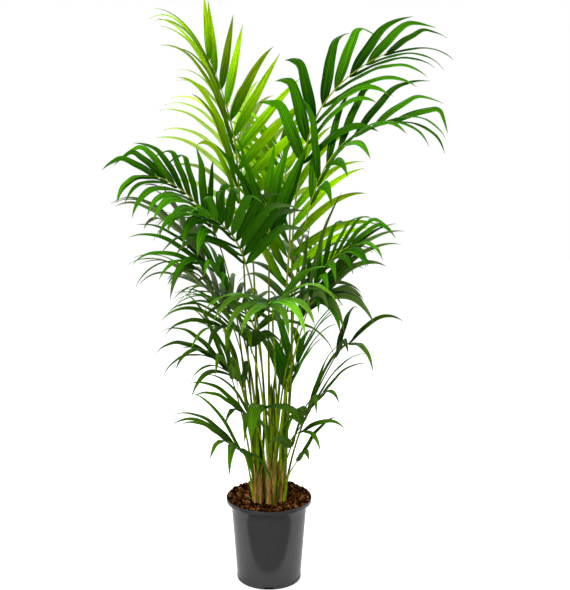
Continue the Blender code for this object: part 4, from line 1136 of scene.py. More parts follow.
def make_husk_piece(husk, blanks, looks):
    """A dry sheath: overlapping torn strips with loose fibres across them."""
    stem = STEMS[husk.stem]
    strip, fibre = blanks
    draw = random.Random(JITTER_SEED * 77 + husk.stem)
    shell = Shell()
    start, wide = math.radians(husk.facing - husk.span / 2), math.radians(husk.span)
    tall = husk.height / 100
    for k in range(HUSK_TEARS):
        angle = start + wide * (k + draw.uniform(*HUSK_STRIP_PLACES)) / HUSK_TEARS
        leaf = husk_strip(stem, angle, tall, k % HUSK_LAYERS * HUSK_LAYER, draw)
        points = torn_points(strip, leaf, draw)
        shell.add(points, strip.faces, strip_grain(strip), 0, draw.random())
    grain = np.stack([fibre.points[:, 0], fibre.points[:, 2] / FIBRE_RINGS], axis=1)
    for _ in range(HUSK_FIBRES):
        path = fibre_path(stem, start, wide, tall, draw)
        points = fibre_points(fibre, path, draw.uniform(*HUSK_FIBRE_RADII))
        shell.add(points, fibre.faces, grain, 0, draw.random())
    piece = shell.made(husk.name + "_fine", [husk_material(looks)])
    settle(piece, "dry_sheath", husk.name)


def husk_strip(stem, angle, tall, layer, draw):
    """The middle line of one torn strip, which stands off the stem more and more."""
    top = tall * draw.uniform(*HUSK_STRIP_TOPS)
    drift = draw.uniform(-HUSK_DRIFT, HUSK_DRIFT)
    curl = draw.uniform(*HUSK_CURLS)
    points, uppers = [], []
    for j in range(BEND_STEPS + 1):
        share = j / BEND_STEPS
        stand = HUSK_STAND + layer + curl * share ** 4
        point, out = round_stem(stem, angle + drift * share, top * share - BASE_BURIED, stand)
        points.append(point)
        uppers.append(out)
    aims = [(points[min(j + 1, BEND_STEPS)] - points[max(j - 1, 0)]).normalized()
            for j in range(BEND_STEPS + 1)]
    return Leaf(points, aims, uppers, 1, draw.uniform(*HUSK_STRIP_WIDTHS))


def fibre_path(stem, start, wide, tall, draw):
    """A loose fibre that runs up and slightly round a dry sheath."""
    angle = start + wide * draw.random()
    low = tall * draw.uniform(*HUSK_FIBRE_FEET)
    reach = tall * draw.uniform(*HUSK_FIBRE_LENGTHS)
    swing = draw.uniform(-HUSK_FIBRE_SWING, HUSK_FIBRE_SWING)
    lift = draw.uniform(0.0, HUSK_FIBRE_LIFT)
    path = []
    for k in range(FIBRE_RINGS + 1):
        share = k / FIBRE_RINGS
        stand = HUSK_STAND + HUSK_FIBRE_STAND + lift * share ** 3
        point, _ = round_stem(stem, angle + swing * share, low + reach * share, stand)
        path.append(point)
    return path


def torn_points(blank, leaf, draw):
    """The strip as a torn piece of dry sheath: flat, uneven at its edges and ragged at its top."""
    across, along, above = blank.points.T
    tears = [draw.uniform(*TEAR_WIDTHS) for _ in range(BEND_STEPS + 1)]
    lists = (leaf.points, leaf.aims, leaf.uppers, tears)
    middle, aim, upper, tear = by_row(along * BEND_STEPS, *lists)
    side = np.cross(aim, upper)
    half = leaf.width / 2 * tear * (1 - along ** 5 * TEAR_POINT)
    bulge = -HUSK_BULGE * across ** 2 * half + HUSK_THICKNESS * (above - 0.5)
    return middle + side * (across * half)[:, None] + upper * bulge[:, None]


# The soil in fine detail

def soil_bed_points():
    """Rings of points over the soil, from the middle of its underside to the middle of its top."""
    low = POT_FLOOR + CLEARANCE
    flare = POT_HEIGHT - RIM_LIP - RIM_FLARE + POT_WALL + CLEARANCE
    heights = [low, POT_FLOOR + CORNER_RISE + CLEARANCE]
    heights += [flare + RIM_FLARE * share for share in (0.0,) + STEP_SHARES + (1.0,)]
    radii = [pot_inner_radius(z - CLEARANCE) - CLEARANCE for z in heights]
    radii[0] -= CORNER_INSET
    rings = [[Vector((0, 0, low))]]
    turns = [math.tau * k / BED_SIDES for k in range(BED_SIDES)]
    for radius, z in zip(radii, heights):
        rings.append([spin(a) * radius + UP * z for a in turns])
    for k in range(BED_RINGS):
        radius = (radii[-1] - SOIL_EDGE) * (1 - k / BED_RINGS)
        rings.append([bed_point(spin(a) * radius) for a in turns])
    rings.append([bed_point(Vector((0, 0, 0)))])
    return rings


def bed_point(flat):
    """The soil's top at a place, with crumbs a few millimetres across."""
    crumbs = sum(noise.noise(flat * fineness) * share for fineness, share in BED_CRUMBS)
    height = soil_surface(flat.x, flat.y) - BED_DROP + crumbs * BED_CRUMB
    return Vector((flat.x, flat.y, height))


def ring_faces(rings):
    """Quads between rings of points, and triangles where a ring is a single point."""
    faces = []
    starts = [0]
    for ring in rings:
        starts.append(starts[-1] + len(ring))
    for k, (low, high) in enumerate(zip(rings, rings[1:])):
        sides = max(len(low), len(high))
        for j in range(sides):
            after = (j + 1) % sides
            corners = [starts[k] + j % len(low), starts[k] + after % len(low)]
            corners += [starts[k + 1] + after % len(high), starts[k + 1] + j % len(high)]
            faces.append(tuple(dict.fromkeys(corners)))
    return faces


def make_soil_bed(looks):
    rings = soil_bed_points()
    points = np.array([tuple(point) for ring in rings for point in ring])
    shell = Shell()
    shell.add(points, ring_faces(rings), points[:, :2] / POT_RIM_RADIUS, 0, 0.3)
    piece = shell.made("soil_bed", [bark_material(looks)])
    settle(piece, "bark_soil", "soil")


def free_of_stems(x, y, room):
    return all(math.hypot(x - stem.x / 100, y - stem.y / 100) > stem_radius(stem, 0) + room
               for stem in STEMS)


def scatter_spot(draw, reach, room, at_rim=0.0):
    """A place on the soil that no stem stands on, for a share of the pieces along the rim."""
    while True:
        radius, angle = reach * math.sqrt(draw.random()), draw.uniform(0, math.tau)
        if draw.random() < at_rim:
            radius = reach - draw.uniform(0, RIM_HEAP_WIDTH)
        x, y = radius * math.cos(angle), radius * math.sin(angle)
        if free_of_stems(x, y, room):
            return Vector((x, y, soil_surface(x, y)))


def make_bark_chips(looks):
    """Loose bark over the bed, heaped a little against the rim."""
    draw = random.Random(JITTER_SEED + 11)
    blanks = [chip_blank(flatness, seed) for seed, flatness in enumerate(CHIP_FLATNESSES)]
    shell = Shell()
    for _ in range(looks.chips):
        blank = draw.choice(blanks)
        size = draw.uniform(*CHIP_SIZES) * (LARGE_CHIP if draw.random() < LARGE_CHIP_SHARE else 1)
        reach = POT_RIM_RADIUS - POT_WALL - CHIP_FROM_WALL * size
        spot = scatter_spot(draw, reach, size, RIM_HEAP_SHARE)
        heap = draw.uniform(*CHIP_DEPTHS) + RIM_HEAP * (spot.xy.length / POT_RIM_RADIUS) ** 8
        turn = Quaternion(spin(draw.uniform(0, math.tau)), draw.gauss(0, CHIP_TUMBLE))
        turn = turn @ Quaternion(UP, draw.uniform(0, math.tau))
        form = Vector([draw.uniform(*limits) for limits in CHIP_FORMS])
        points = [spot + UP * heap + turn @ (Vector(p) * form) * size for p in blank.points]
        points = np.array([tuple(p) for p in points])
        shell.add(points, blank.faces, points[:, :2] / POT_RIM_RADIUS, 0, draw.random())
    piece = shell.made("bark_chips", [bark_material(looks)], CHIP_SHARP_ANGLE)
    settle(piece, "bark_soil")


def coir_path(spot, draw):
    """A coconut fibre that bends over the soil from a spot."""
    heading, bend = draw.uniform(0, math.tau), draw.uniform(-COIR_BEND, COIR_BEND)
    length, lift = draw.uniform(*COIR_LENGTHS), draw.uniform(*COIR_LIFTS)
    path = [spot]
    for k in range(COIR_RINGS):
        heading += bend / COIR_RINGS
        path.append(path[-1] + spin(heading) * length / COIR_RINGS)
    for k, point in enumerate(path):
        arch = math.sin(math.pi * k / COIR_RINGS) * lift
        point.z = soil_surface(point.x, point.y) + COIR_STAND + arch
    return path


def make_coir_fibres(looks):
    """Coconut fibres that lie between the chips."""
    draw = random.Random(JITTER_SEED + 23)
    blank = tube_blank(3, COIR_RINGS)
    grain = np.stack([blank.points[:, 0], blank.points[:, 2]], axis=1)
    shell = Shell()
    for _ in range(looks.fibres):
        path = coir_path(scatter_spot(draw, POT_RIM_RADIUS - COIR_FROM_RIM, COIR_ROOM), draw)
        points = fibre_points(blank, path, draw.uniform(*COIR_RADII))
        shell.add(points, blank.faces, grain, 0, draw.uniform(*COIR_TONES))
    piece = shell.made("coir_fibres", [bark_material(looks)])
    settle(piece, "bark_soil")


# The pot in fine detail

def rounded_edge(radius, z, rounding, start, end):
    """Points of a rounded edge, one every thirty degrees."""
    turns = [math.radians(angle) for angle in range(start, end + 1, 30)]
    return [(radius + rounding * math.cos(turn), z + rounding * math.sin(turn)) for turn in turns]


def pot_outline():
    """Half section of the pot: pad, standing ring, foot band, wall, step, lip and inside."""
    lip = POT_HEIGHT - RIM_LIP
    flare = lip - RIM_FLARE
    ridge = lip - RIDGE_DROP
    recess = POT_BASE_RADIUS - FOOT_RING
    foot = POT_BASE_RADIUS + FOOT_BAND
    outline = [(PAD_RADIUS, 0), (PAD_RADIUS + PAD_SLOPE, PAD_DEPTH), (recess, PAD_DEPTH)]
    outline += [(recess + EDGE_SLOPE, 0), (foot - FOOT_BEVEL, 0)]
    outline += [(foot - POT_EDGE, POT_EDGE), (foot, FOOT_BEVEL), (foot, FOOT_HEIGHT - POT_EDGE)]
    outline += [(foot - POT_EDGE, FOOT_HEIGHT), (taper_radius(FOOT_HEIGHT), FOOT_HEIGHT)]
    for share in WALL_SHARES:
        z = FOOT_HEIGHT + (ridge - RIDGE_HEIGHT - FOOT_HEIGHT) * share
        outline.append((taper_radius(z), z))
    for share, stand in RIDGE_FORM:
        z = ridge + RIDGE_HEIGHT / 2 * share
        outline.append((taper_radius(z) + RIDGE_STAND * stand, z))
    outline.append((taper_radius(flare), flare))
    for share in STEP_SHARES:
        z = flare + RIM_FLARE * share
        outline.append((pot_outer_radius(z), z))
    rounding, half = LIP_ROUNDING, POT_WALL / 2
    outline += rounded_edge(POT_RIM_RADIUS - rounding, lip + rounding, rounding, -90, 0)
    outline += rounded_edge(POT_RIM_RADIUS - half, POT_HEIGHT - half, half, 0, 180)
    for share in (1.0,) + STEP_SHARES[::-1] + (0.0,):
        z = flare + RIM_FLARE * share + POT_WALL
        outline.append((pot_inner_radius(z), z))
    outline += [(pot_inner_radius(POT_FLOOR + CORNER_RISE), POT_FLOOR + CORNER_RISE)]
    outline += [(pot_inner_radius(POT_FLOOR) - CORNER_INSET, POT_FLOOR)]
    return outline


def drill(piece, cutter):
    """Takes the cutter out of the piece for good."""
    cut = piece.modifiers.new("drain", "BOOLEAN")
    cut.object = cutter
    cut.solver = "EXACT"
    bpy.context.view_layer.objects.active = piece
    bpy.ops.object.modifier_apply(modifier=cut.name)
    bpy.data.objects.remove(cutter)


def add_drains(pot):
    """Drain holes through the floor and drain notches through the foot."""
    recess = POT_BASE_RADIUS - FOOT_RING
    ring = (PAD_RADIUS + PAD_SLOPE + recess) / 2
    for k in range(DRAIN_HOLES):
        start_piece()
        middle = spin(math.tau * (k + 0.5) / DRAIN_HOLES) * ring
        bpy.ops.mesh.primitive_cylinder_add(vertices=DRAIN_HOLE_SIDES, location=middle,
                                            radius=DRAIN_HOLE_RADIUS, depth=DRAIN_DRILL)
        drill(pot, bpy.context.object)
    for k in range(DRAIN_NOTCHES):
        start_piece()
        angle = math.tau * k / DRAIN_NOTCHES - math.pi / 2
        inner, outer = recess - NOTCH_LENGTH, POT_BASE_RADIUS + CUTTER_OVERSHOOT
        bpy.ops.mesh.primitive_cube_add(size=1, location=spin(angle) * (inner + outer) / 2,
                                        rotation=(0, 0, angle),
                                        scale=(outer - inner, NOTCH_WIDTH, 2 * NOTCH_HEIGHT))
        drill(pot, bpy.context.object)


def make_pot_piece(looks):
    """The pot, drawn up from its underside ring by ring, then drilled."""
    start_piece()
    outline = pot_outline()
    radius, height = outline[0]
    bpy.ops.mesh.primitive_circle_add(vertices=POT_FINE_SIDES, radius=radius, fill_type="NGON")
    bpy.ops.object.mode_set(mode="EDIT")
    for wider, z in outline[1:]:
        bpy.ops.mesh.extrude_region_move(TRANSFORM_OT_translate={"value": (0, 0, z - height)})
        share = wider / radius
        bpy.ops.transform.resize(value=(share, share, 1), center_override=(0, 0, 0))
        radius, height = wider, z
    pot = end_piece()
    pot.name = "pot_fine"
    add_drains(pot)
    start_piece()
    pot.select_set(True)
    bpy.context.view_layer.objects.active = pot
    bpy.ops.object.shade_smooth_by_angle(angle=math.radians(POT_SHARP_ANGLE))
    pot.data.materials.append(pot_material(looks))
    settle(pot, "pot_plastic", "pot")


# Materials

class Graph:
    """Short ways to add and join nodes in one node tree."""

    def __init__(self, tree):
        self.tree = tree

    def node(self, kind, **values):
        made = self.tree.nodes.new(kind)
        for name, value in values.items():
            setattr(made, name, value)
        return made

    def put(self, value, socket):
        """A link where the value is a socket, and else a plain value."""
        if isinstance(value, bpy.types.NodeSocket):
            self.tree.links.new(value, socket)
        else:
            socket.default_value = value

    def maths(self, operation, a, b=0.0, c=0.0, clamp=False):
        made = self.node("ShaderNodeMath", operation=operation, use_clamp=clamp)
        for value, socket in zip((a, b, c), made.inputs):
            self.put(value, socket)
        return made.outputs[0]

    def ramp(self, value, low, high, start=0.0, end=1.0):
        """An easy change from start to end as the value goes from low to high."""
        made = self.node("ShaderNodeMapRange", interpolation_type="SMOOTHSTEP")
        for new, socket in zip((value, low, high, start, end), made.inputs):
            self.put(new, socket)
        return made.outputs[0]

    def mix(self, share, a, b, blend_type="MIX"):
        made = self.node("ShaderNodeMix", data_type="RGBA", blend_type=blend_type)
        self.put(share, made.inputs["Factor"])
        self.put(a, made.inputs[6])
        self.put(b, made.inputs[7])
        return made.outputs[2]

    def noise(self, place, scale, detail):
        made = self.node("ShaderNodeTexNoise")
        self.put(place, made.inputs["Vector"])
        made.inputs["Scale"].default_value = scale
        made.inputs["Detail"].default_value = detail
        made.inputs["Roughness"].default_value = NOISE_ROUGHNESS
        return made.outputs[0]

    def stretched(self, place, scale):
        made = self.node("ShaderNodeMapping")
        self.put(place, made.inputs["Vector"])
        made.inputs["Scale"].default_value = scale
        return made.outputs[0]

    def grain_map(self):
        return self.node("ShaderNodeUVMap", uv_map="Grain").outputs[0]

    def place(self):
        return self.node("ShaderNodeTexCoord").outputs["Object"]

    def parts(self, vector):
        split = self.node("ShaderNodeSeparateXYZ")
        self.put(vector, split.inputs[0])
        return split.outputs

    def attribute(self, name):
        return self.node("ShaderNodeAttribute", attribute_name=name).outputs["Fac"]

    def shaded(self, colour, low, high, share):
        """The colour between a darker and a lighter form of itself."""
        dark = self.mix(1.0, colour, (low, low, low, 1), "MULTIPLY")
        light = self.mix(1.0, colour, (high, high, high, 1), "MULTIPLY")
        return self.mix(share, dark, light)


def new_group(name, inputs, outputs):
    """An empty node group with the named inputs and outputs, and its graph."""
    tree = bpy.data.node_groups.new(name, "ShaderNodeTree")
    for label, kind, default in inputs:
        socket = tree.interface.new_socket(label, in_out="INPUT", socket_type=kind)
        socket.default_value = default
    for label, kind in outputs:
        tree.interface.new_socket(label, in_out="OUTPUT", socket_type=kind)
    graph = Graph(tree)
    return graph, graph.node("NodeGroupInput"), graph.node("NodeGroupOutput")


@functools.cache
def blade_group():
    """Ribs, midrib, streaks, paler underside and dry tip of a leaflet, with painted shade at its
    root and painted sheen and shade along its ribs and streaks.
    """
    graph, given, out = new_group(
        "Leaflet blade",
        [("Upper", COLOUR, (0.05, 0.2, 0.01, 1)), ("Root", COLOUR, (0.01, 0.08, 0.0, 1)),
         ("Under", COLOUR, (0.2, 0.3, 0.15, 1)),
         ("Rib", COLOUR, (0.3, 0.5, 0.05, 1)), ("Dry", COLOUR, (0.35, 0.2, 0.08, 1)),
         ("Ribs", NUMBER, 9.0), ("Gloss", NUMBER, 0.35), ("Bloom", NUMBER, 0.2)],
        [("Colour", COLOUR), ("Roughness", NUMBER), ("Height", NUMBER)])
    place = graph.grain_map()
    u, v = graph.parts(place)[:2]
    tone, under = graph.attribute("tone"), graph.attribute("under")
    out_from_rib = graph.maths("ABSOLUTE", graph.maths("SUBTRACT", u, 0.5))
    midrib = graph.ramp(out_from_rib, *MIDRIB_EDGE, 1.0, 0.0)
    turns = graph.maths("MULTIPLY", graph.maths("MULTIPLY", u, given.outputs["Ribs"]), math.tau)
    ribs = graph.maths("MULTIPLY_ADD", graph.maths("COSINE", turns), 0.5, 0.5)
    shifted = graph.node("ShaderNodeVectorMath", operation="ADD")
    graph.put(graph.stretched(place, STREAK_FORM), shifted.inputs[0])
    graph.put(graph.maths("MULTIPLY", tone, STREAK_SHIFT), shifted.inputs[1])
    # In the colour the streaks and ribs are partly the leaflet's own streaky tone and partly
    # painted sheen and painted shade: they darken and lighten it and lead it towards the rib
    # colour.
    streak = graph.ramp(graph.noise(shifted.outputs[0], 1.0, 4.0), *STREAK_EDGES)
    fine = graph.maths("MULTIPLY", streak, 1 - RIB_SHARE)
    fine = graph.maths("MULTIPLY_ADD", ribs, RIB_SHARE, fine)
    # Painted shade: each leaflet is darker and greener at its root by the midrib and lightens
    # towards its tip.
    upper = graph.ramp(v, 0.0, ROOT_SHADE_REACH)
    upper = graph.mix(upper, given.outputs["Root"], given.outputs["Upper"])
    upper = graph.shaded(upper, *UPPER_STREAK_SHADE_AND_SHEEN, fine)
    veins = graph.maths("MULTIPLY", graph.maths("MULTIPLY", tone, streak), VEIN_SHARE)
    veins = graph.maths("MAXIMUM", veins, graph.maths("MULTIPLY", midrib, MIDRIB_SHARE))
    bloom = graph.maths("MULTIPLY", graph.ramp(v, *BLOOM_REACH), TIP_BLOOM)
    bloom = graph.maths("MAXIMUM", given.outputs["Bloom"], bloom)
    lower = graph.mix(bloom, given.outputs["Upper"], given.outputs["Under"])
    lower = graph.shaded(lower, *LOWER_STREAK_SHADE_AND_SHEEN, fine)
    colour = graph.mix(veins, graph.mix(under, upper, lower), given.outputs["Rib"])
    life = graph.maths("MULTIPLY_ADD", tone, *LEAFLET_TONES)
    colour = graph.mix(1.0, colour, life, "MULTIPLY")
    old = graph.ramp(tone, *OLD_LEAFLETS)
    old = graph.maths("MULTIPLY", graph.ramp(v, *DRY_REACH), old)
    colour = graph.mix(old, colour, given.outputs["Dry"])
    graph.put(colour, out.inputs["Colour"])
    rough = graph.maths("MULTIPLY_ADD", streak, STREAK_ROUGHNESS, given.outputs["Gloss"])
    rough = graph.maths("MULTIPLY_ADD", under, UNDER_ROUGHNESS, rough)
    graph.put(rough, out.inputs["Roughness"])
    height = graph.maths("MULTIPLY", streak, STREAK_HEIGHT)
    height = graph.maths("MULTIPLY_ADD", ribs, RIB_HEIGHT, height)
    graph.put(graph.maths("ADD", height, midrib), out.inputs["Height"])
    return graph.tree


@functools.cache
def fibre_group():
    """Long streaks that run along a piece, as in stalks, stems and dry sheaths."""
    graph, given, out = new_group(
        "Long fibres",
        [("Dark", COLOUR, (0.05, 0.1, 0.01, 1)), ("Light", COLOUR, (0.3, 0.5, 0.05, 1)),
         ("Fineness", NUMBER, 1.0)],
        [("Colour", COLOUR), ("Height", NUMBER)])
    place = graph.place()
    tone = graph.attribute("tone")
    sized = graph.node("ShaderNodeVectorMath", operation="SCALE")
    graph.put(graph.stretched(place, FIBRE_FORM), sized.inputs[0])
    graph.put(given.outputs["Fineness"], sized.inputs[3])
    streaks = graph.ramp(graph.noise(sized.outputs[0], 1.0, 4.0), *FIBRE_EDGES)
    patches = graph.noise(graph.stretched(place, PATCH_FORM), 1.0, 2.0)
    share = graph.maths("MULTIPLY", graph.ramp(patches, *PATCH_EDGES), 1 - FIBRE_SHARE)
    share = graph.maths("MULTIPLY_ADD", streaks, FIBRE_SHARE, share)
    colour = graph.mix(share, given.outputs["Dark"], given.outputs["Light"])
    life = graph.maths("MULTIPLY_ADD", tone, *FIBRE_TONES)
    graph.put(graph.mix(1.0, colour, life, "MULTIPLY"), out.inputs["Colour"])
    graph.put(streaks, out.inputs["Height"])
    return graph.tree


def new_material(name):
    """A material with its graph and its Principled shader."""
    material = bpy.data.materials.new(name)
    material.use_nodes = True
    graph = Graph(material.node_tree)
    return material, graph, material.node_tree.nodes["Principled BSDF"]


def bumped(graph, height, strength, distance):
    bump = graph.node("ShaderNodeBump")
    bump.inputs["Strength"].default_value = strength
    bump.inputs["Distance"].default_value = distance
    graph.put(height, bump.inputs["Height"])
    return bump.outputs[0]


def placed_group(graph, tree, **values):
    made = graph.node("ShaderNodeGroup")
    made.node_tree = tree
    for label, value in values.items():
        made.inputs[label].default_value = value
    return made


@functools.cache
def blade_material(shade, looks):
    """The finish of one shade of leaflet, with light that shines through it."""
    material, graph, shader = new_material(shade + " leaflet")
    upper = getattr(looks, shade)
    clear, gloss, shine, root, bloom, blue = SHADE_LIGHT[shade]
    # Painted shade at the root: the leaflet's colour darkened there, its red most of all.
    shaded_root = (upper[0] * root ** 2, upper[1] * root, upper[2] * root)
    blade = placed_group(graph, blade_group(), Upper=(*upper, 1), Root=(*shaded_root, 1),
                         Under=(*looks.under, 1), Rib=(*looks.rib, 1), Dry=(*looks.dry, 1),
                         Ribs=LEAFLET_RIBS, Gloss=gloss, Bloom=bloom)
    graph.put(blade.outputs["Colour"], shader.inputs["Base Color"])
    graph.put(blade.outputs["Roughness"], shader.inputs["Roughness"])
    shader.inputs["Specular IOR Level"].default_value = shine
    normal = bumped(graph, blade.outputs["Height"], *BLADE_BUMP)
    graph.put(normal, shader.inputs["Normal"])
    through = graph.node("ShaderNodeBsdfTranslucent")
    glow = graph.mix(1.0, blade.outputs["Colour"], (*GLOW, blue, 1), "MULTIPLY")
    graph.put(glow, through.inputs["Color"])
    mixed = graph.node("ShaderNodeMixShader")
    mixed.inputs[0].default_value = clear
    graph.put(shader.outputs[0], mixed.inputs[1])
    graph.put(through.outputs[0], mixed.inputs[2])
    graph.put(mixed.outputs[0], graph.tree.nodes["Material Output"].inputs[0])
    return material


def fibre_material(name, dark, light, roughness, fineness, bump, high=None):
    """A finish of long fibres between two colours, and perhaps a third one higher up."""
    material, graph, shader = new_material(name)
    fibres = placed_group(graph, fibre_group(), Dark=(*dark, 1), Light=(*light, 1),
                          Fineness=fineness)
    colour = fibres.outputs["Colour"]
    if high:
        share = graph.ramp(graph.parts(graph.place())[2], *YOUNG_HEIGHTS, 0.0, YOUNG_SHARE)
        colour = graph.mix(share, colour, (*high, 1))
    graph.put(colour, shader.inputs["Base Color"])
    shader.inputs["Roughness"].default_value = roughness
    shader.inputs["Specular IOR Level"].default_value = 0.03
    normal = bumped(graph, fibres.outputs["Height"], bump, FIBRE_BUMP_DEPTH)
    graph.put(normal, shader.inputs["Normal"])
    return material


@functools.cache
def stalk_material(looks):
    return fibre_material("green stalk", looks.stalk_dark, looks.stalk, 0.42, 0.8, 0.25,
                          looks.stalk_young)


@functools.cache
def stem_material(looks):
    return fibre_material("wrapped stem", looks.stem_dark, looks.stem, 0.5, 0.6, 0.4)


@functools.cache
def husk_material(looks):
    return fibre_material("dry leaf sheath", looks.husk_dark, looks.husk, 0.85, 2.2, 0.8)


@functools.cache
def bark_material(looks):
    """Bark and coconut fibre: each chip has its own tone, from near black to rust."""
    material, graph, shader = new_material("bark and coir")
    place = graph.place()
    tone = graph.attribute("tone")
    ramp = graph.node("ShaderNodeValToRGB")
    stops = ((0.12, looks.peat), (0.45, looks.bark), (0.82, looks.rust), (1.0, looks.straw))
    for position, colour in stops[1:-1]:
        ramp.color_ramp.elements.new(position)
    for element, (position, colour) in zip(ramp.color_ramp.elements, stops):
        element.position = position
        element.color = (*colour, 1)
    grain = graph.noise(place, *BARK_GRAIN)
    patch = graph.noise(place, *BARK_PATCHES)
    share = graph.maths("MULTIPLY_ADD", graph.maths("SUBTRACT", grain, 0.5), 0.9, tone)
    share = graph.maths("MULTIPLY_ADD", graph.maths("SUBTRACT", patch, 0.5), 0.6, share, True)
    graph.put(share, ramp.inputs[0])
    graph.put(ramp.outputs[0], shader.inputs["Base Color"])
    shader.inputs["Roughness"].default_value = 0.9
    shader.inputs["Specular IOR Level"].default_value = 0.0
    graph.put(bumped(graph, grain, *BARK_BUMP), shader.inputs["Normal"])
    return material


def pot_material(looks):
    """Moulded plastic: satin, with a fine grain and faint specks."""
    material, graph, shader = new_material("satin pot plastic")
    place = graph.place()
    grain = graph.noise(place, *POT_GRAIN)
    speckle = graph.ramp(graph.noise(place, *POT_SPECKS), 0.62, 0.8)
    colour = graph.shaded((*looks.plastic, 1), 0.9, 1.1, grain)
    colour = graph.mix(graph.maths("MULTIPLY", speckle, 0.08), colour, (*looks.dust, 1))
    graph.put(colour, shader.inputs["Base Color"])
    rough = graph.maths("MULTIPLY_ADD", speckle, 0.05, looks.roughness)
    graph.put(graph.maths("MULTIPLY_ADD", grain, 0.04, rough), shader.inputs["Roughness"])
    graph.put(bumped(graph, grain, *POT_BUMP), shader.inputs["Normal"])
    return material


# The studio

def stage_plane(name, size, location, material):
    """A flat square that belongs to the studio."""
    start_piece()
    bpy.ops.mesh.primitive_plane_add(size=size, location=location)
    bpy.ops.object.transform_apply(location=True, rotation=False, scale=False)
    plane = bpy.context.object
    plane.name = name
    plane.data.materials.append(material)
    return plane


def make_floor(looks):
    """A wide pale floor with painted shade under the pot."""
    material, graph, shader = new_material("pale floor")
    shader.inputs["Roughness"].default_value = 0.9
    shader.inputs["Specular IOR Level"].default_value = 0.0
    shader.inputs["Emission Color"].default_value = (1, 1, 1, 1)
    away = graph.node("ShaderNodeVectorMath", operation="LENGTH")
    graph.put(graph.place(), away.inputs[0])
    away = away.outputs["Value"]
    # Painted shade: the floor is near black under the pot, a painted contact shadow that also
    # darkens the inside of the drain notches.
    colour = graph.mix(graph.ramp(away, *FLOOR_SHADE), (0.03, 0.03, 0.03, 1), (*looks.floor, 1))
    graph.put(colour, shader.inputs["Base Color"])
    glow = graph.ramp(away, *FLOOR_SHADE, 0.0, looks.floor_glow)
    seen = graph.node("ShaderNodeLightPath").outputs["Is Camera Ray"]
    graph.put(graph.maths("MULTIPLY", glow, seen), shader.inputs["Emission Strength"])
    floor = stage_plane("studio_floor", FLOOR_SIZE, FLOOR_MIDDLE, material)


def make_dark_card():
    """A black card on the floor in front of the pot, which only gloss shows."""
    material, _, shader = new_material("black card")
    shader.inputs["Base Color"].default_value = (0.0, 0.0, 0.0, 1)
    shader.inputs["Specular IOR Level"].default_value = 0.0
    shader.inputs["Roughness"].default_value = 1.0
    place = (0, -CARD_NEAR - CARD_SIZE / 2, CARD_HEIGHT)
    card = stage_plane("dark_card", CARD_SIZE, place, material)
    card.visible_camera = False
    card.visible_diffuse = False
    card.visible_transmission = False
    card.visible_shadow = False


def make_softbox(name, place, aim, size, power):
    """A square softbox that points at the plant."""
    data = bpy.data.lights.new(name, "AREA")
    data.shape = "RECTANGLE"
    data.size, data.size_y = size
    data.energy = power
    light = bpy.data.objects.new(name, data)
    light.location = place
    light.rotation_euler = (Vector(aim) - Vector(place)).to_track_quat("-Z", "Y").to_euler()
    bpy.context.scene.collection.objects.link(light)


def make_world(looks):
    """White all round, and dark behind the viewer for what gloss shows."""
    world = bpy.data.worlds.new("studio")
    bpy.context.scene.world = world
    world.use_nodes = True
    graph = Graph(world.node_tree)
    background = world.node_tree.nodes["Background"]
    facing = graph.parts(graph.node("ShaderNodeTexCoord").outputs["Generated"])[1]
    back = graph.ramp(facing, *DARK_BEHIND, looks.front_dark, looks.back_bright)
    path = graph.node("ShaderNodeLightPath")
    others = graph.mix(path.outputs["Is Glossy Ray"], (looks.ambient,) * 3 + (1,), back)
    graph.put(graph.mix(path.outputs["Is Camera Ray"], others, (1, 1, 1, 1)),
              background.inputs["Color"])


def make_camera():
    data = bpy.data.cameras.new("camera")
    data.sensor_width = FILM_SIZE
    data.lens = FOCAL_LENGTH
    data.shift_x = VIEW_SHIFT
    data.clip_start = 0.05
    camera = bpy.data.objects.new("camera", data)
    camera.location = (0, -CAMERA_DISTANCE, CAMERA_HEIGHT)
    camera.rotation_euler = (math.radians(90 - CAMERA_PITCH), 0, 0)
    bpy.context.scene.collection.objects.link(camera)
    bpy.context.scene.camera = camera


# Settings, operators and panel

def colour_setting(name, description, default):
    return bpy.props.FloatVectorProperty(name=name, description=description, default=default,
                                         subtype="COLOR", min=0, max=1)


def length_setting(name, description, default):
    return bpy.props.FloatProperty(name=name, description=description, default=default,
                                   subtype="DISTANCE", unit="LENGTH", precision=5)


def angle_setting(name, description, degrees):
    return bpy.props.FloatProperty(name=name, description=description,
                                   default=math.radians(degrees), subtype="ANGLE", unit="ROTATION")


def power_setting(name, description, default):
    return bpy.props.FloatProperty(name=name, description=description, default=default,
                                   unit="POWER")


def share_setting(name, description, default):
    return bpy.props.FloatProperty(name=name, description=description, default=default, min=0,
                                   soft_max=1)


def count_setting(name, description, default):
    return bpy.props.IntProperty(name=name, description=description, default=default, min=1)


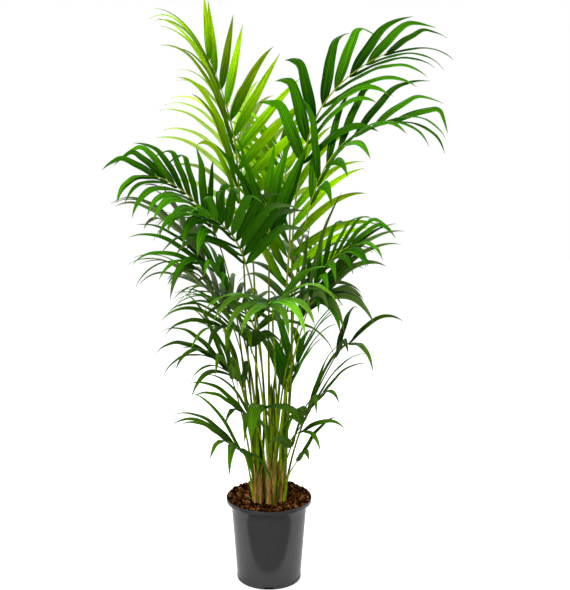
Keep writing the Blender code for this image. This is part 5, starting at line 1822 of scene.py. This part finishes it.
class PalmLeafSettings(bpy.types.PropertyGroup):
    thickness: length_setting("Thickness", "Thickness of a leaflet along its midrib", 0.0009)
    wave: length_setting("Edge wave", "How far a leaflet's edges wave up and down", 0.0012)
    pleat: length_setting("Pleat depth", "Depth of the pleats along a leaflet", 0.0009)
    keel: angle_setting("Keel", "Angle at which both halves of a leaflet slope down", 13)
    twist: angle_setting("Twist", "Most that a leaflet turns towards its tip", 16)
    lime: colour_setting("Lime", "Young top fronds", (0.360, 0.580, 0.002))
    # Pale: partly the back fronds' own paler green and partly painted light, raised to stand in for
    # the light through them though they sit in the shade of fronds in front.
    pale: colour_setting("Pale", "Young fronds at the back", (0.520, 0.720, 0.240))
    fresh: colour_setting("Fresh", "Young arching fronds", (0.200, 0.480, 0.020))
    green: colour_setting("Green", "Grown lower fronds", (0.062, 0.190, 0.002))
    grey: colour_setting("Grey-green", "Old fronds with a dull bloom", (0.085, 0.170, 0.026))
    deep: colour_setting("Deep", "Grown glossy fronds", (0.050, 0.270, 0.001))
    under: colour_setting("Underside", "Pale lower side of a leaflet", (0.400, 0.480, 0.240))
    rib: colour_setting("Midrib", "Midrib of a leaflet", (0.280, 0.500, 0.012))
    dry: colour_setting("Dry tip", "Dry tips of some leaflets", (0.380, 0.210, 0.090))
    stalk: colour_setting("Stalk, light", "Lighter streaks of the stalks", (0.360, 0.520, 0.006))
    stalk_dark: colour_setting("Stalk, dark", "Darker streaks of the stalks", (0.020, 0.075, 0.001))
    stalk_young: colour_setting("Stalk, young", "Stalks and midribs high up", (0.440, 0.560, 0.040))


class PalmStemSettings(bpy.types.PropertyGroup):
    stem: colour_setting("Stem, light", "Lighter streaks of the stems", (0.300, 0.440, 0.006))
    stem_dark: colour_setting("Stem, dark", "Darker streaks of the stems", (0.010, 0.040, 0.001))
    husk: colour_setting("Sheath, light", "Lighter fibres of the sheaths", (1.000, 0.500, 0.180))
    husk_dark: colour_setting("Sheath, dark", "Darker fibres of the sheaths", (0.280, 0.085, 0.022))


class PalmSoilSettings(bpy.types.PropertyGroup):
    chips: count_setting("Chips", "Number of loose bark chips", 2300)
    fibres: count_setting("Fibres", "Number of loose coconut fibres", 220)
    peat: colour_setting("Peat", "Darkest chips", (0.006, 0.002, 0.0005))
    bark: colour_setting("Bark", "Most of the chips", (0.038, 0.011, 0.0025))
    rust: colour_setting("Rust", "Warm chips", (0.170, 0.053, 0.010))
    straw: colour_setting("Straw", "Lightest chips and fibres", (0.460, 0.220, 0.075))


class PalmPotSettings(bpy.types.PropertyGroup):
    plastic: colour_setting("Plastic", "Colour of the pot", (0.050, 0.050, 0.050))
    dust: colour_setting("Dust", "Colour of the specks", (0.200, 0.200, 0.200))
    roughness: share_setting("Roughness", "Roughness of the pot's plastic", 0.13)


class PalmStudioSettings(bpy.types.PropertyGroup):
    floor: colour_setting("Floor", "Colour of the floor", (0.960, 0.960, 0.960))
    floor_glow: share_setting("Floor glow", "Light from the floor, so that it is white", 0.7)
    ambient: share_setting("Ambient", "Light from all round", 0.36)
    front_dark: share_setting("Front reflection", "What gloss shows behind the viewer", 0.02)
    back_bright: share_setting("Back reflection", "What gloss shows behind the plant", 0.66)
    key: power_setting("Key light", "Power of the key light", 64)
    fill: power_setting("Fill light", "Power of the fill light", 16)
    back: power_setting("Back light", "Power of the back light", 60)


class PALM_OT_pot(bpy.types.Operator):
    """Models the nursery pot"""

    bl_idname = "palm.pot"
    bl_label = "Pot"

    def execute(self, context):
        make_pot_piece(context.scene.palm_pot)
        return {"FINISHED"}


class PALM_OT_soil(bpy.types.Operator):
    """Models the soil, its bark chips and its coconut fibres"""

    bl_idname = "palm.soil"
    bl_label = "Soil"

    def execute(self, context):
        looks = context.scene.palm_soil
        make_soil_bed(looks)
        make_bark_chips(looks)
        make_coir_fibres(looks)
        return {"FINISHED"}


class PALM_OT_stems(bpy.types.Operator):
    """Models the five stems"""

    bl_idname = "palm.stems"
    bl_label = "Stems"

    def execute(self, context):
        blank = tube_blank(STEM_FINE_SIDES, STEM_RINGS)
        for stem in STEMS:
            make_stem_piece(stem, blank, context.scene.palm_stems)
        return {"FINISHED"}


class PALM_OT_sheaths(bpy.types.Operator):
    """Models the dry sheaths round the stems"""

    bl_idname = "palm.sheaths"
    bl_label = "Dry sheaths"

    def execute(self, context):
        blanks = strip_blank(4, BEND_STEPS), tube_blank(3, FIBRE_RINGS)
        for husk in HUSKS:
            make_husk_piece(husk, blanks, context.scene.palm_stems)
        return {"FINISHED"}


class PALM_OT_fronds(bpy.types.Operator):
    """Models the fronds, each with its stalk and leaflets"""

    bl_idname = "palm.fronds"
    bl_label = "Fronds"

    def execute(self, context):
        looks = context.scene.palm_leaves
        names = [piece.name for piece in STEMS + HUSKS]
        fixed = [object_blocker(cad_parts[name]) for name in names]
        routes, blockers = lay_stalks(fixed)
        grow_leaves(routes, blockers, fixed)
        strip = strip_blank(LEAF_COLUMNS, 2 * BEND_STEPS)
        tube = tube_blank(STALK_FINE_SIDES, BASE_RINGS + STALK_RINGS)
        unders = strip_unders(strip)
        for route in routes:
            make_frond(route, (strip, tube), unders, looks)
        return {"FINISHED"}


class PALM_OT_studio(bpy.types.Operator):
    """Sets up the floor, the light and the camera"""

    bl_idname = "palm.studio"
    bl_label = "Studio"

    def execute(self, context):
        looks = context.scene.palm_studio
        make_floor(looks)
        make_dark_card()
        make_world(looks)
        for name, power, *form in SOFTBOXES:
            make_softbox(name, *form, getattr(looks, power))
        make_camera()
        context.scene.view_settings.view_transform = "Standard"
        return {"FINISHED"}


class PALM_PT_panel(bpy.types.Panel):
    """Lists the steps of the potted palm"""

    bl_label = "Potted palm"
    bl_space_type = "VIEW_3D"
    bl_region_type = "UI"
    bl_category = "Potted palm"

    def draw(self, context):
        for step in STEPS:
            self.layout.operator(step.bl_idname)


STEPS = (PALM_OT_pot, PALM_OT_soil, PALM_OT_stems, PALM_OT_sheaths, PALM_OT_fronds,
         PALM_OT_studio)
SETTINGS = {"palm_leaves": PalmLeafSettings, "palm_stems": PalmStemSettings,
            "palm_soil": PalmSoilSettings, "palm_pot": PalmPotSettings,
            "palm_studio": PalmStudioSettings}
CLASSES = (*SETTINGS.values(), *STEPS, PALM_PT_panel)


def register():
    for made in CLASSES:
        bpy.utils.register_class(made)
    for name, kind in SETTINGS.items():
        setattr(bpy.types.Scene, name, bpy.props.PointerProperty(type=kind))


def unregister():
    for name in SETTINGS:
        delattr(bpy.types.Scene, name)
    for made in reversed(CLASSES):
        bpy.utils.unregister_class(made)


def main():
    register()
    for step in STEPS:
        group, name = step.bl_idname.split(".")
        getattr(getattr(bpy.ops, group), name)()


if __name__ == "__main__":
    main()
